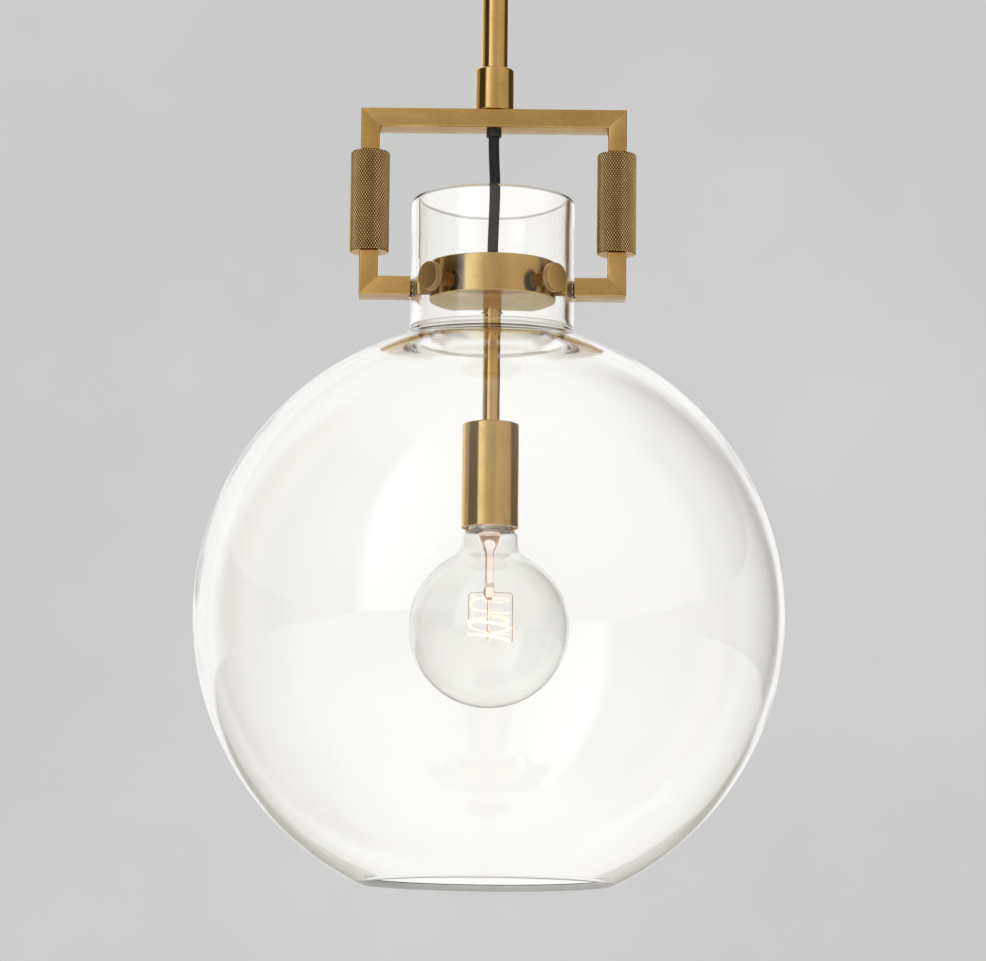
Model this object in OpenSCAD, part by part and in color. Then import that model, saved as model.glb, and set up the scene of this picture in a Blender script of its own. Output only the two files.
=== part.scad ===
// Pendant ceiling light: ceiling fitting, hang-straight swivel, stem, yoke with knurled grips,
// support disc, clear glass globe held by thumbscrews, lamp cup and globe bulb.
// The origin is the middle of the ceiling plane, +Z is up, and the front faces -Y. Units are mm.

/* [Ceiling fitting] */
// Outside diameter of the canopy
canopy_d = 127; // [122:1:150]
// Depth of the canopy
canopy_h = 28; // [24:1:34]
// Distance between the two outlet box screws
box_spacing = 88.9; // [80:0.1:96]
// Travel of the canopy when its ring is unscrewed
canopy_travel = 10; // [5:1:14]

/* [Stem] */
// Length of the stem tube
stem_len = 152; // [120:1:300]
// Outside diameter of the stem tube
stem_d = 15.9; // [15:0.1:17]
// Outside diameter of the collar under the stem
collar_d = 23.8; // [21:0.1:30]
// Height of the collar
collar_h = 26; // [20:0.5:32]

/* [Yoke] */
// Overall width of the yoke
yoke_w = 160; // [152:1:180]
// Overall height of the yoke
yoke_h = 114.5; // [112:0.5:118]
// Width of the yoke's bar, seen from the front
bar_w = 11.4; // [10.4:0.1:12]
// Depth of the yoke's bar, from front to back
bar_t = 19.6; // [16:0.2:20]
// Outside diameter of a knurled grip
grip_d = 23.8; // [23.6:0.1:26]
// Length of a knurled grip
grip_len = 61.6; // [50:0.1:62]

/* [Glass shade] */
// Outside diameter of the globe
globe_d = 350; // [320:5:400]
// Thickness of the globe's wall
globe_wall = 4.5; // [3:0.5:6]
// Outside diameter of the neck
neck_d = 98; // [96:1:100]
// Thickness of the neck's wall
neck_wall = 5; // [4.5:0.1:5.4]
// Diameter of the outer edge of the rim around the open bottom
mouth_d = 147; // [120:1:190]
// Height of the globe's centre below the top of the yoke
globe_drop = 307; // [300:1:330]
// Height of the neck's rim below the top of the yoke
rim_drop = 55; // [50:1:60]

/* [Support disc] */
// Diameter of the support disc
disc_d = 76; // [74:1:78]
// Thickness of the support disc
disc_h = 22.7; // [21:0.1:24]

/* [Lamp] */
// Outside diameter of the drop rod
rod_d = 10.5; // [10:0.1:11]
// Outside diameter of the lamp cup
cup_d = 34; // [33.6:0.1:38]
// Height of the lamp cup
cup_h = 62.9; // [60:0.1:68]
// Diameter of the bulb
bulb_d = 95; // [80:1:110]
// Diameter of the flexible cord
cord_d = 6.5; // [5:0.1:6.5]

/* [Hidden] */
$fn = 96;

// Colours
brass = [0.71, 0.56, 0.33];
dark_brass = [0.55, 0.42, 0.23];
steel = [0.7, 0.71, 0.72];
black = [0.09, 0.09, 0.1];
clear = [0.86, 0.9, 0.9, 0.35];
porcelain = [0.93, 0.92, 0.88];
green = [0.2, 0.5, 0.28];
glowing = [1, 0.8, 0.45];

// Clearances: a shaft in its hole, and a plain gap between two faces
fit = 0.05;
gap = 0.3;
// How far a cutting shape runs past the face that it cuts
past = 1;

// Ceiling fitting, from the ceiling down
bar_plate_t = 2.5;
bar_plate_l = 116;
bar_plate_w = 24;
slot_r = 2.5;
slot_l = 12;
nipple_r = 5.15;
lead_bore_r = 3.6;
locknut_h = 4.5;
locknut_r = 9.5;
ground_x = 26;
ground_r = 2;
ground_head_r = 4;
ground_head_h = 2.5;
sheet_t = 1.2;
canopy_edge = 6;
canopy_play = 0.5;
ring_h = 7;
ring_r = 14;
fork_r = 12;
fork_plate_t = 6;
turned_edge = 0.8;
fork_top = -canopy_h - ring_h - canopy_travel - 1;
flange_t = 3;
flange_r = 6.7;
nipple_end = fork_top - fork_plate_t - gap - flange_t;
pivot_r = 8;
pivot_z = nipple_end - 5 - pivot_r;
ear_in = 7.3;
ear_out = 11.3;
ear_half = 6.2;
tongue_x = 7;
pin_r = 2.5;
pin_in = lead_bore_r + 0.6;
pin_head_r = 4.4;
pin_head_h = 1.8;
shoulder_z = pivot_z - pivot_r - 2.2;
shoulder_h = 10;
knuckle_spigot_l = 12;

// Stem and collar
stem_r = stem_d / 2;
stem_bore_r = stem_r - 1.6;
stem_top = shoulder_z - shoulder_h;
stem_end = stem_top - stem_len;
stem_seat = 14;
collar_r = collar_d / 2;
yoke_top = stem_end + stem_seat - collar_h;
collar_web = 3;
collar_edge = 0.9;
spigot_r = 6;
spigot_l = 5.5;
bushing_r = 4.6;
bushing_show = 4.3;
bushing_edge = 0.5;
bushing_flange_t = 1.9;
flange_pocket = 2.2;

// Yoke
bar_bottom = yoke_top - bar_w;
post_x = yoke_w / 2 - bar_w / 2;
arm_top = yoke_top - yoke_h + bar_w - 0.2;
yoke_end = yoke_top - yoke_h;
grip_top = yoke_top - 25.7;
grip_end = grip_top - grip_len;
grip_gap = 0.15;
stud_r = 4;
stud_seat = 9;
stud_edge = 0.6;
fix_z = (arm_top + yoke_end) / 2;

// Glass shade
neck_r = neck_d / 2;
neck_in_r = neck_r - neck_wall;
globe_r = globe_d / 2;
globe_in_r = globe_r - globe_wall;
globe_z = yoke_top - globe_drop;
rim_z = yoke_top - rim_drop;
mouth_angle = asin(mouth_d / globe_d);
glass_hole_r = 3.7;

// Support disc
disc_r = disc_d / 2;
disc_top = yoke_top - 94.6;
disc_end = disc_top - disc_h;
disc_floor = 6.3;
cavity_r = 24;
cover_r = 30;
cover_t = 3;
cover_z = disc_top - cover_t;
disc_edge = 1.2;
cover_screw_r = 1.25;
cover_screw_l = 4;
cover_screw_at = cover_r - 3;
cover_screw_angles = [90, 210, 330];
grommet_r = 5;
grommet_flange_r = 7;
grommet_h = 1.6;
clamp_r = 8;
clamp_h = 6;

// Screws that hold the shade
thread_r = 2.5;
thread_in = 27.5;
cap_head_r = 4.2;
cap_head_h = 4.6;
cap_bore_r = 4.4;
cap_seat = 5;
cap_hex_r = 2.3;
cap_hex_l = 3;
gasket_r = 5.2;
spacer_r = 4.2;
sleeve_r = 3.4;
washer_r = 7;
washer_t = 0.85;
head_r = 8.8;
head_t = 4;
head_edge = 0.6;
washer_back = neck_r + 0.2;
head_back = washer_back + washer_t + 0.1;
arm_end_r = neck_r + 1;
// Angles of the two thumbscrews, and of every screw that holds the shade
screw_angles = [225, 315];
shade_angles = concat([0, 180], screw_angles);

// Cord and leads
cord_r = cord_d / 2;
cord_bore_r = cord_r + fit;
cord_sides = 10;
cord_top = yoke_top - spigot_l - 2.4;
cord_end = disc_top - cover_t - 8;
// Offset of the cord from the axis, in x and y, at each step down from its top to its end
cord_bow = [
    [0, 0], [0, 0], [0, 0], [0.2, 0], [0.5, 0.1], [0.8, 0.1], [0.95, 0.2], [0.9, 0.2],
    [0.75, 0.2], [0.5, 0.1], [0.3, 0.1], [0.1, 0], [0, 0], [0, 0], [0, 0], [0, 0]
];

// Lamp
rod_r = rod_d / 2;
coupling_r = 5.6;
coupling_h = 9.7;
coupling_edge = 0.4;
coupling_spigot_r = 4.8;
coupling_nut_r = 8;
coupling_nut_h = 3;
ring_under_h = 4;
ring_under_r = 6.3;
rod_top = disc_end - coupling_h - ring_under_h;
rod_bore_r = 3.3;
rod_spigot_r = 4.6;
rod_spigot_l = 5.8;
lead_r = 1.5;
lead_x = 1.65;
cup_top = yoke_top - 191.1;
cup_end = cup_top - cup_h;
cup_r = cup_d / 2;
cup_in_r = cup_r - sheet_t;
cup_edge = 1.3;
cup_floor = 2;
rod_nut_r = 9;
rod_nut_h = 4;
cap_top = cup_top - 11;
cap_h = 9;
rod_end = cap_top - 6;
holder_top = cap_top - cap_h - 0.1;
holder_end = cup_end + 1;
holder_r = cup_in_r - 0.2;
shell_r = 13.9;
shell_in_r = 13.45;
base_r = 13.1;
base_h = 22;
base_end = cup_end - 1.5;
base_top = base_end + base_h;
base_t = 0.8;
tip_h = 4.6;
tip_r = 4.6;
solder_h = 1.2;
holder_floor = base_top + tip_h + 1.2;
contact_r = 3.1;
terminal_r = 1.6;
terminal_at = 10;
terminal_angles = [45, 225];
bulb_r = bulb_d / 2;
bulb_z = cup_end - 59.7;
bulb_neck_r = 16.8;
bulb_blend = 12;
bulb_shoulder = 4;
bulb_wall = 0.9;
// Glass mount inside the bulb, from its flare down to the thin rod that the filament hangs round
flare_r = 7.2;
flare_h = 14;
mount_r = 2.5;
press_r = 3.6;
mount_rod_r = 1.2;
// The filament: half turns of a falling spiral, alternately in front of the rod and behind it
filament_r = 12;
filament_wire_r = 0.35;
filament_top = bulb_z + 4;
half_drop = 4;
half_turns = 3;
half_turn_angle = 179;
filament_end = filament_top - half_turns * half_drop;
function half_turn_z(i) = filament_top - (i + 0.5) * half_drop;
press_z = filament_top + 17;
support_r = 0.5;
hook_r = 0.3;

// Points its children, drawn along +Z, outwards from the axis at an angle and a height
module outwards(angle, z) {
    translate([0, 0, z]) rotate([0, 0, angle]) rotate([0, 90, 0]) children();
}

// Round bar along +Z with both ends chamfered
module chamfered(r, h, edge) {
    translate([0, 0, edge]) cylinder(r = r, h = h - 2 * edge);
    cylinder(r1 = r - edge, r2 = r, h = edge);
    translate([0, 0, h - edge]) cylinder(r1 = r, r2 = r - edge, h = edge);
}

// Half outline of a cup, open at height 0, whose floor at -h has a rounded edge
module cup_outline(r, h, edge) {
    translate([0, -h]) square([r - edge, h]);
    translate([0, edge - h]) square([r, h - edge]);
    translate([r - edge, edge - h]) circle(r = edge);
}

// Tube along a list of points, with a ring of the given sides at each
function ring_at(p, r, sides) =
    [for (i = [0 : sides - 1]) p + [r * cos(360 * i / sides), r * sin(360 * i / sides), 0]];

module tube_down(path, r, sides) {
    last = len(path) - 1;
    points = [for (p = path) each ring_at(p, r, sides)];
    sides_faces = [
        for (j = [0 : last - 1])
            for (i = [0 : sides - 1])
                [
                    j * sides + i, j * sides + (i + 1) % sides,
                    (j + 1) * sides + (i + 1) % sides, (j + 1) * sides + i
                ]
    ];
    top_face = [[for (i = [0 : sides - 1]) sides - 1 - i]];
    end_face = [[for (i = [0 : sides - 1]) last * sides + i]];
    polyhedron(points = points, faces = concat(top_face, sides_faces, end_face), convexity = 4);
}

// ---- Ceiling fitting ----

module crossbar() {
    color(steel) difference() {
        translate([-bar_plate_l / 2, -bar_plate_w / 2, -bar_plate_t])
            cube([bar_plate_l, bar_plate_w, bar_plate_t]);
        translate([0, 0, -bar_plate_t - past])
            cylinder(r = nipple_r + fit, h = bar_plate_t + 2 * past);
        for (side = [-1, 1])
            translate([side * box_spacing / 2, 0, -bar_plate_t - past]) slot_cutter();
        translate([ground_x, 0, -bar_plate_t - past])
            cylinder(r = ground_r + fit, h = bar_plate_t + 2 * past);
    }
}

module slot_cutter() {
    cut_h = bar_plate_t + 2 * past;
    reach = slot_l / 2 - slot_r;
    translate([-reach, -slot_r, 0]) cube([2 * reach, 2 * slot_r, cut_h]);
    for (end = [-reach, reach])
        translate([end, 0, 0]) cylinder(r = slot_r, h = cut_h);
}

module ceiling_nipple() {
    color(dark_brass) difference() {
        union() {
            translate([0, 0, nipple_end]) cylinder(r = nipple_r, h = -nipple_end);
            translate([0, 0, nipple_end]) cylinder(r = flange_r, h = flange_t);
        }
        translate([0, 0, nipple_end - past]) cylinder(r = lead_bore_r, h = 2 * past - nipple_end);
    }
}

module nipple_locknut() {
    color(steel) difference() {
        translate([0, 0, -bar_plate_t - locknut_h]) cylinder(r = locknut_r, h = locknut_h, $fn = 6);
        translate([0, 0, -bar_plate_t - locknut_h - past])
            cylinder(r = nipple_r + fit, h = locknut_h + 2 * past);
    }
}

module ground_screw() {
    color(green) translate([ground_x, 0, -bar_plate_t]) {
        translate([0, 0, -ground_head_h])
            cylinder(r1 = ground_head_r - 0.6, r2 = ground_head_r, h = ground_head_h);
        cylinder(r = ground_r, h = bar_plate_t);
    }
}

module ceiling_lead() {
    lead_end = pivot_z + pivot_r + 0.5;
    color(black) translate([0, 0, lead_end]) cylinder(r = cord_r, h = -lead_end - 1);
}

module canopy() {
    color(brass) rotate_extrude() difference() {
        cup_outline(canopy_d / 2, canopy_h, canopy_edge);
        cup_outline(canopy_d / 2 - sheet_t, canopy_h - sheet_t, canopy_edge - sheet_t);
        translate([0, -past]) square([canopy_d / 2 - sheet_t, 2 * past]);
        translate([0, -canopy_h - past]) square([nipple_r + canopy_play, canopy_h]);
    }
}

module canopy_ring() {
    color(brass) translate([0, 0, -canopy_h - ring_h]) difference() {
        chamfered(ring_r, ring_h, turned_edge);
        translate([0, 0, -past]) cylinder(r = nipple_r + fit, h = ring_h + 2 * past);
    }
}

// ---- Hang-straight swivel ----

module swivel_fork() {
    color(brass) difference() {
        union() {
            translate([0, 0, fork_top - fork_plate_t])
                chamfered(fork_r, fork_plate_t, turned_edge);
            for (side = [0, 180]) rotate([0, 0, side]) fork_ear();
        }
        translate([0, 0, fork_top - fork_plate_t - past])
            cylinder(r = nipple_r + fit, h = fork_plate_t + 2 * past);
        for (side = [0, 180]) outwards(side, pivot_z) translate([0, 0, ear_in - past])
            cylinder(r = pin_r + fit, h = ear_out - ear_in + 2 * past);
    }
}

module fork_ear() {
    ear_top = fork_top - fork_plate_t + turned_edge;
    translate([ear_in, -ear_half, pivot_z])
        cube([ear_out - ear_in, 2 * ear_half, ear_top - pivot_z]);
    outwards(0, pivot_z) translate([0, 0, ear_in]) cylinder(r = ear_half, h = ear_out - ear_in);
}

module swivel_pins() {
    color(dark_brass) for (side = [0, 180]) outwards(side, pivot_z) {
        translate([0, 0, pin_in]) cylinder(r = pin_r, h = ear_out - pin_in);
        translate([0, 0, ear_out])
            cylinder(r1 = pin_head_r, r2 = pin_head_r - turned_edge, h = pin_head_h);
    }
}

module stem_knuckle() {
    spigot_end = stem_top - knuckle_spigot_l;
    neck_h = pivot_z - shoulder_z + 1;
    color(brass) difference() {
        union() {
            translate([-tongue_x, 0, pivot_z]) rotate([0, 90, 0])
                cylinder(r = pivot_r, h = 2 * tongue_x);
            translate([0, 0, shoulder_z - 1]) intersection() {
                translate([-tongue_x, -stem_r, 0]) cube([2 * tongue_x, 2 * stem_r, neck_h]);
                cylinder(r = stem_r, h = neck_h);
            }
            translate([0, 0, stem_top]) chamfered(stem_r, shoulder_h, turned_edge);
            translate([0, 0, spigot_end]) cylinder(r = stem_bore_r - fit, h = knuckle_spigot_l + 1);
        }
        translate([0, 0, spigot_end - past])
            cylinder(r = lead_bore_r, h = pivot_z + pivot_r - spigot_end + 2 * past);
        for (side = [0, 180]) outwards(side, pivot_z) translate([0, 0, lead_bore_r - past])
            cylinder(r = pin_r + fit, h = tongue_x - lead_bore_r + 2 * past);
    }
}

// ---- Stem ----

module stem_tube() {
    color(brass) translate([0, 0, stem_end]) difference() {
        cylinder(r = stem_r, h = stem_len);
        translate([0, 0, -past]) cylinder(r = stem_bore_r, h = stem_len + 2 * past);
    }
}

module stem_lead() {
    lead_top = pivot_z + pivot_r - 0.2;
    lead_end = cord_top + 0.1;
    color(black) translate([0, 0, lead_end]) cylinder(r = cord_r, h = lead_top - lead_end);
}

module stem_collar() {
    color(brass) difference() {
        translate([0, 0, yoke_top]) chamfered(collar_r, collar_h, collar_edge);
        translate([0, 0, stem_end]) cylinder(r = stem_r + fit, h = stem_seat + past);
        translate([0, 0, yoke_top - past])
            cylinder(r = spigot_r + fit, h = stem_end - collar_web - yoke_top + past);
        translate([0, 0, yoke_top - past]) cylinder(r = lead_bore_r, h = collar_h + 2 * past);
    }
}

module collar_screw_tube() {
    tube_h = stem_end - collar_web - 0.2 - yoke_top + spigot_l;
    color(dark_brass) translate([0, 0, yoke_top - spigot_l]) difference() {
        cylinder(r = spigot_r, h = tube_h);
        translate([0, 0, -past]) cylinder(r = lead_bore_r, h = tube_h + 2 * past);
    }
}

module cord_bushing() {
    flange_top = yoke_top - spigot_l - 0.2;
    bushing_end = bar_bottom - bushing_show;
    color(black) difference() {
        union() {
            translate([0, 0, bushing_end + bushing_edge])
                cylinder(r = bushing_r, h = flange_top - bushing_end - bushing_edge);
            translate([0, 0, bushing_end])
                cylinder(r1 = bushing_r - bushing_edge, r2 = bushing_r, h = bushing_edge);
            translate([0, 0, flange_top - bushing_flange_t])
                cylinder(r = spigot_r - 0.1, h = bushing_flange_t);
        }
        translate([0, 0, bushing_end - past])
            cylinder(r = cord_bore_r, h = flange_top - bushing_end + 2 * past);
    }
}

// ---- Yoke ----

module upper_yoke() {
    color(brass) difference() {
        translate([-yoke_w / 2, -bar_t / 2, grip_top]) cube([yoke_w, bar_t, yoke_top - grip_top]);
        translate([-yoke_w / 2 + bar_w, -bar_t / 2 - past, grip_top - past])
            cube([yoke_w - 2 * bar_w, bar_t + 2 * past, bar_bottom - grip_top + past]);
        translate([0, 0, bar_bottom - past]) cylinder(r = bushing_r + fit, h = bar_w + 2 * past);
        translate([0, 0, yoke_top - spigot_l - flange_pocket])
            cylinder(r = spigot_r + fit, h = spigot_l + flange_pocket + past);
        for (x = [-post_x, post_x]) translate([x, 0, grip_top - past])
            cylinder(r = stud_r + fit, h = stud_seat + gap + past);
    }
}

module grip_stud(side) {
    color(dark_brass) translate([side * post_x, 0, grip_end - stud_seat])
        chamfered(stud_r, grip_len + 2 * stud_seat, stud_edge);
}

module grip(side) {
    color(dark_brass) translate([side * post_x, 0, grip_end + grip_gap]) difference() {
        chamfered(grip_d / 2, grip_len - 2 * grip_gap, turned_edge);
        translate([0, 0, -past]) cylinder(r = stud_r + fit, h = grip_len + 2 * past);
    }
}

module lower_arm(side) {
    color(brass) mirror([side < 0 ? 1 : 0, 0, 0]) difference() {
        union() {
            translate([yoke_w / 2 - bar_w, -bar_t / 2, yoke_end])
                cube([bar_w, bar_t, grip_end - yoke_end]);
            translate([arm_end_r - 2, -bar_t / 2, yoke_end])
                cube([yoke_w / 2 - arm_end_r, bar_t, arm_top - yoke_end]);
        }
        translate([0, 0, yoke_end - past])
            cylinder(r = arm_end_r, h = arm_top - yoke_end + 2 * past);
        translate([post_x, 0, grip_end - stud_seat - gap])
            cylinder(r = stud_r + fit, h = stud_seat + gap + past);
        outwards(0, fix_z) cylinder(r = thread_r + fit, h = yoke_w / 2);
        outwards(0, fix_z) translate([0, 0, yoke_w / 2 - cap_seat])
            cylinder(r = cap_bore_r, h = cap_seat + past);
    }
}

module arm_screws() {
    color(dark_brass) for (angle = [0, 180]) outwards(angle, fix_z) difference() {
        union() {
            translate([0, 0, thread_in])
                cylinder(r = thread_r, h = yoke_w / 2 - cap_seat - thread_in);
            translate([0, 0, yoke_w / 2 - cap_seat]) chamfered(cap_head_r, cap_head_h, stud_edge);
        }
        translate([0, 0, yoke_w / 2 - cap_hex_l]) cylinder(r = cap_hex_r, h = cap_seat, $fn = 6);
    }
}

module arm_gaskets() {
    color(black) for (angle = [0, 180]) difference() {
        union() {
            shade_ring(angle, sleeve_r, neck_in_r + 0.4, arm_end_r - fit);
            shade_ring(angle, gasket_r, neck_r + fit, arm_end_r - fit);
        }
        outwards(angle, fix_z) cylinder(r = thread_r + fit, h = 2 * neck_r);
    }
}

// A radial peg of radius r that fills the space between two upright cylinders
module shade_ring(angle, r, inner, outer) {
    intersection() {
        outwards(angle, fix_z) cylinder(r = r, h = 2 * neck_r);
        translate([0, 0, fix_z]) difference() {
            cylinder(r = outer, h = 4 * r, center = true);
            cylinder(r = inner, h = 4 * r + past, center = true);
        }
    }
}

module shade_spacers() {
    color(brass) for (angle = shade_angles) difference() {
        shade_ring(angle, spacer_r, disc_r + fit, neck_in_r - fit);
        outwards(angle, fix_z) cylinder(r = thread_r + fit, h = 2 * neck_r);
    }
}

// ---- Glass shade ----

module glass_shade() {
    color(clear) difference() {
        union() {
            translate([0, 0, globe_z]) sphere(r = globe_r);
            translate([0, 0, globe_z]) cylinder(r = neck_r, h = rim_z - globe_z);
        }
        translate([0, 0, globe_z]) sphere(r = globe_in_r);
        translate([0, 0, globe_z]) cylinder(r = neck_in_r, h = rim_z - globe_z + past);
        translate([0, 0, globe_z - globe_d]) mouth_cutter();
        for (angle = shade_angles) outwards(angle, fix_z) cylinder(r = glass_hole_r, h = 2 * neck_r);
    }
}

// Cone about the globe's centre, so that the rim is cut square to the wall
module mouth_cutter() {
    cut_h = 1.5 * globe_r;
    cylinder(
        r1 = globe_d * tan(mouth_angle), r2 = (globe_d - cut_h) * tan(mouth_angle), h = cut_h
    );
}

// ---- Support disc ----

module disc_body() {
    color(brass) difference() {
        translate([0, 0, disc_end]) chamfered(disc_r, disc_h, disc_edge);
        translate([0, 0, disc_end + disc_floor]) cylinder(r = cavity_r, h = disc_h);
        translate([0, 0, cover_z - 0.1]) cylinder(r = cover_r + fit, h = cover_t + 0.1 + past);
        translate([0, 0, disc_end - past])
            cylinder(r = coupling_spigot_r + fit, h = disc_floor + 2 * past);
        for (angle = shade_angles) outwards(angle, fix_z)
            translate([0, 0, cavity_r - past]) cylinder(r = thread_r + fit, h = disc_r);
        for (angle = cover_screw_angles) rotate([0, 0, angle])
            translate([cover_screw_at, 0, cover_z - cover_screw_l - 0.1])
                cylinder(r = cover_screw_r + fit, h = cover_screw_l + past);
    }
}

module disc_cover() {
    color(brass) difference() {
        translate([0, 0, cover_z]) cylinder(r = cover_r, h = cover_t);
        translate([0, 0, cover_z - past]) cylinder(r = grommet_r + fit, h = cover_t + 2 * past);
        for (angle = cover_screw_angles) rotate([0, 0, angle])
            translate([cover_screw_at, 0, cover_z - past])
                cylinder(r = cover_screw_r + fit, h = cover_t + 2 * past);
    }
}

module cover_screws() {
    color(dark_brass) for (angle = cover_screw_angles) rotate([0, 0, angle])
        translate([cover_screw_at, 0, cover_z - cover_screw_l]) {
            cylinder(r = cover_screw_r, h = cover_screw_l + cover_t);
            translate([0, 0, cover_screw_l + cover_t])
                cylinder(r1 = 2 * cover_screw_r, r2 = 1.5 * cover_screw_r, h = cover_screw_r);
        }
}

module disc_grommet() {
    color(black) difference() {
        union() {
            translate([0, 0, disc_top])
                cylinder(r1 = grommet_flange_r, r2 = grommet_flange_r - 1, h = grommet_h);
            translate([0, 0, cover_z]) cylinder(r = grommet_r, h = cover_t);
        }
        translate([0, 0, cover_z - past])
            cylinder(r = cord_bore_r, h = cover_t + grommet_h + 2 * past);
    }
}

// ---- Cord ----

module supply_cord() {
    steps = len(cord_bow) - 1;
    drop = (cord_top - cord_end) / steps;
    path = [for (i = [0 : steps]) [cord_bow[i][0], cord_bow[i][1], cord_top - i * drop]];
    color(black) tube_down(path, cord_r, cord_sides);
}

module cord_clamp() {
    color(porcelain) translate([0, 0, cover_z - gap - clamp_h]) difference() {
        cylinder(r = clamp_r, h = clamp_h);
        translate([0, 0, -past]) cylinder(r = cord_bore_r, h = clamp_h + 2 * past);
    }
}

// ---- Drop rod ----

module drop_coupling() {
    coupling_end = disc_end - coupling_h;
    spigot_top = disc_end + disc_floor + coupling_nut_h + 1;
    color(brass) difference() {
        union() {
            translate([0, 0, coupling_end]) chamfered(coupling_r, coupling_h, coupling_edge);
            translate([0, 0, disc_end - 1])
                cylinder(r = coupling_spigot_r, h = spigot_top - disc_end + 1);
        }
        translate([0, 0, coupling_end - past])
            cylinder(r = rod_bore_r, h = spigot_top - coupling_end + 2 * past);
        translate([0, 0, coupling_end - past])
            cylinder(r = rod_spigot_r + fit, h = rod_spigot_l + 0.2 + past);
    }
}

module coupling_nut() {
    color(steel) translate([0, 0, disc_end + disc_floor]) difference() {
        cylinder(r = coupling_nut_r, h = coupling_nut_h, $fn = 6);
        translate([0, 0, -past])
            cylinder(r = coupling_spigot_r + fit, h = coupling_nut_h + 2 * past);
    }
}

module lock_ring() {
    color(brass) translate([0, 0, rod_top]) difference() {
        chamfered(ring_under_r, ring_under_h, coupling_edge);
        translate([0, 0, -past]) cylinder(r = rod_spigot_r + fit, h = ring_under_h + 2 * past);
    }
}

module drop_rod() {
    color(brass) difference() {
        union() {
            translate([0, 0, rod_end]) cylinder(r = rod_r, h = rod_top - rod_end);
            translate([0, 0, rod_top - 1])
                cylinder(r = rod_spigot_r, h = ring_under_h + rod_spigot_l + 1);
        }
        translate([0, 0, rod_end - past])
            cylinder(r = rod_bore_r, h = rod_top - rod_end + ring_under_h + rod_spigot_l + 2 * past);
    }
}

module rod_leads() {
    leads_top = cord_end - 0.6;
    leads_end = holder_top + 0.6;
    for (x = [-lead_x, lead_x])
        color(x < 0 ? black : porcelain) translate([x, 0, leads_end])
            cylinder(r = lead_r, h = leads_top - leads_end);
}

module rod_nut() {
    color(steel) translate([0, 0, cup_top - cup_floor - rod_nut_h]) difference() {
        cylinder(r = rod_nut_r, h = rod_nut_h, $fn = 6);
        translate([0, 0, -past]) cylinder(r = rod_r + fit, h = rod_nut_h + 2 * past);
    }
}

// ---- Lamp cup and lampholder ----

module socket_cup() {
    color(brass) translate([0, 0, cup_end]) rotate([180, 0, 0]) rotate_extrude() difference() {
        cup_outline(cup_r, cup_h, cup_edge);
        cup_outline(cup_in_r, cup_h - cup_floor, cup_edge - 0.5);
        translate([0, -past]) square([cup_in_r, 2 * past]);
        translate([0, -cup_h - past]) square([rod_r + fit, cup_h]);
    }
}

module lampholder_cap() {
    color(steel) translate([0, 0, cap_top - cap_h]) difference() {
        chamfered(holder_r, cap_h, turned_edge);
        translate([0, 0, sheet_t]) cylinder(r = rod_r + fit, h = cap_h);
        translate([0, 0, -past]) cylinder(r = rod_bore_r, h = cap_h);
    }
}

module lampholder_body() {
    color(porcelain) difference() {
        translate([0, 0, holder_end]) cylinder(r = holder_r, h = holder_top - holder_end);
        translate([0, 0, holder_end - past])
            cylinder(r = shell_r + fit, h = holder_floor - holder_end + past);
        translate([0, 0, holder_floor - past])
            cylinder(r = rod_bore_r, h = holder_top - holder_floor + 2 * past);
        for (angle = terminal_angles) rotate([0, 0, angle])
            translate([terminal_at, 0, holder_floor - past])
                cylinder(r = terminal_r + fit, h = 3 * terminal_r + 0.2 + past);
    }
}

module terminal_screws() {
    color(steel) for (angle = terminal_angles) rotate([0, 0, angle])
        translate([terminal_at, 0, holder_floor]) {
            cylinder(r = terminal_r, h = 3 * terminal_r);
            translate([0, 0, -terminal_r])
                cylinder(r1 = 2.2, r2 = 2.8, h = terminal_r);
        }
}

module screw_shell() {
    shell_h = base_top - holder_end - 1.5;
    color(steel) translate([0, 0, holder_end + 1]) difference() {
        cylinder(r = shell_r, h = shell_h);
        translate([0, 0, -past]) cylinder(r = shell_in_r, h = shell_h + 2 * past);
    }
}

module centre_contact() {
    contact_z = base_top + tip_h + gap;
    color(dark_brass) translate([0, 0, contact_z])
        cylinder(r = contact_r, h = holder_floor - contact_z + contact_r);
}

// ---- Thumbscrews ----

module thumbscrew(angle) {
    color(dark_brass) outwards(angle, fix_z) {
        translate([0, 0, thread_in]) cylinder(r = thread_r, h = head_back - thread_in);
        translate([0, 0, head_back]) chamfered(head_r, head_t, head_edge);
    }
}

module thumb_washer(angle) {
    color(black) outwards(angle, fix_z) difference() {
        union() {
            translate([0, 0, neck_in_r + 1]) cylinder(r = sleeve_r, h = neck_wall);
            translate([0, 0, washer_back]) cylinder(r = washer_r, h = washer_t);
        }
        cylinder(r = thread_r + fit, h = 2 * neck_r);
    }
}

// ---- Bulb ----

module bulb_contact() {
    solder_z = base_top + tip_h - solder_h;
    color(steel) translate([0, 0, solder_z]) cylinder(r1 = tip_r, r2 = tip_r - 1, h = solder_h);
    color(black) translate([0, 0, base_top])
        cylinder(r1 = base_r - 2.6, r2 = tip_r, h = solder_z - base_top);
}

module bulb_base() {
    color(steel) translate([0, 0, base_end]) difference() {
        cylinder(r = base_r, h = base_h);
        translate([0, 0, -past]) cylinder(r = base_r - base_t, h = base_h - sheet_t + past);
        cylinder(r = tip_r - base_t, h = 2 * base_h);
    }
}

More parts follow.
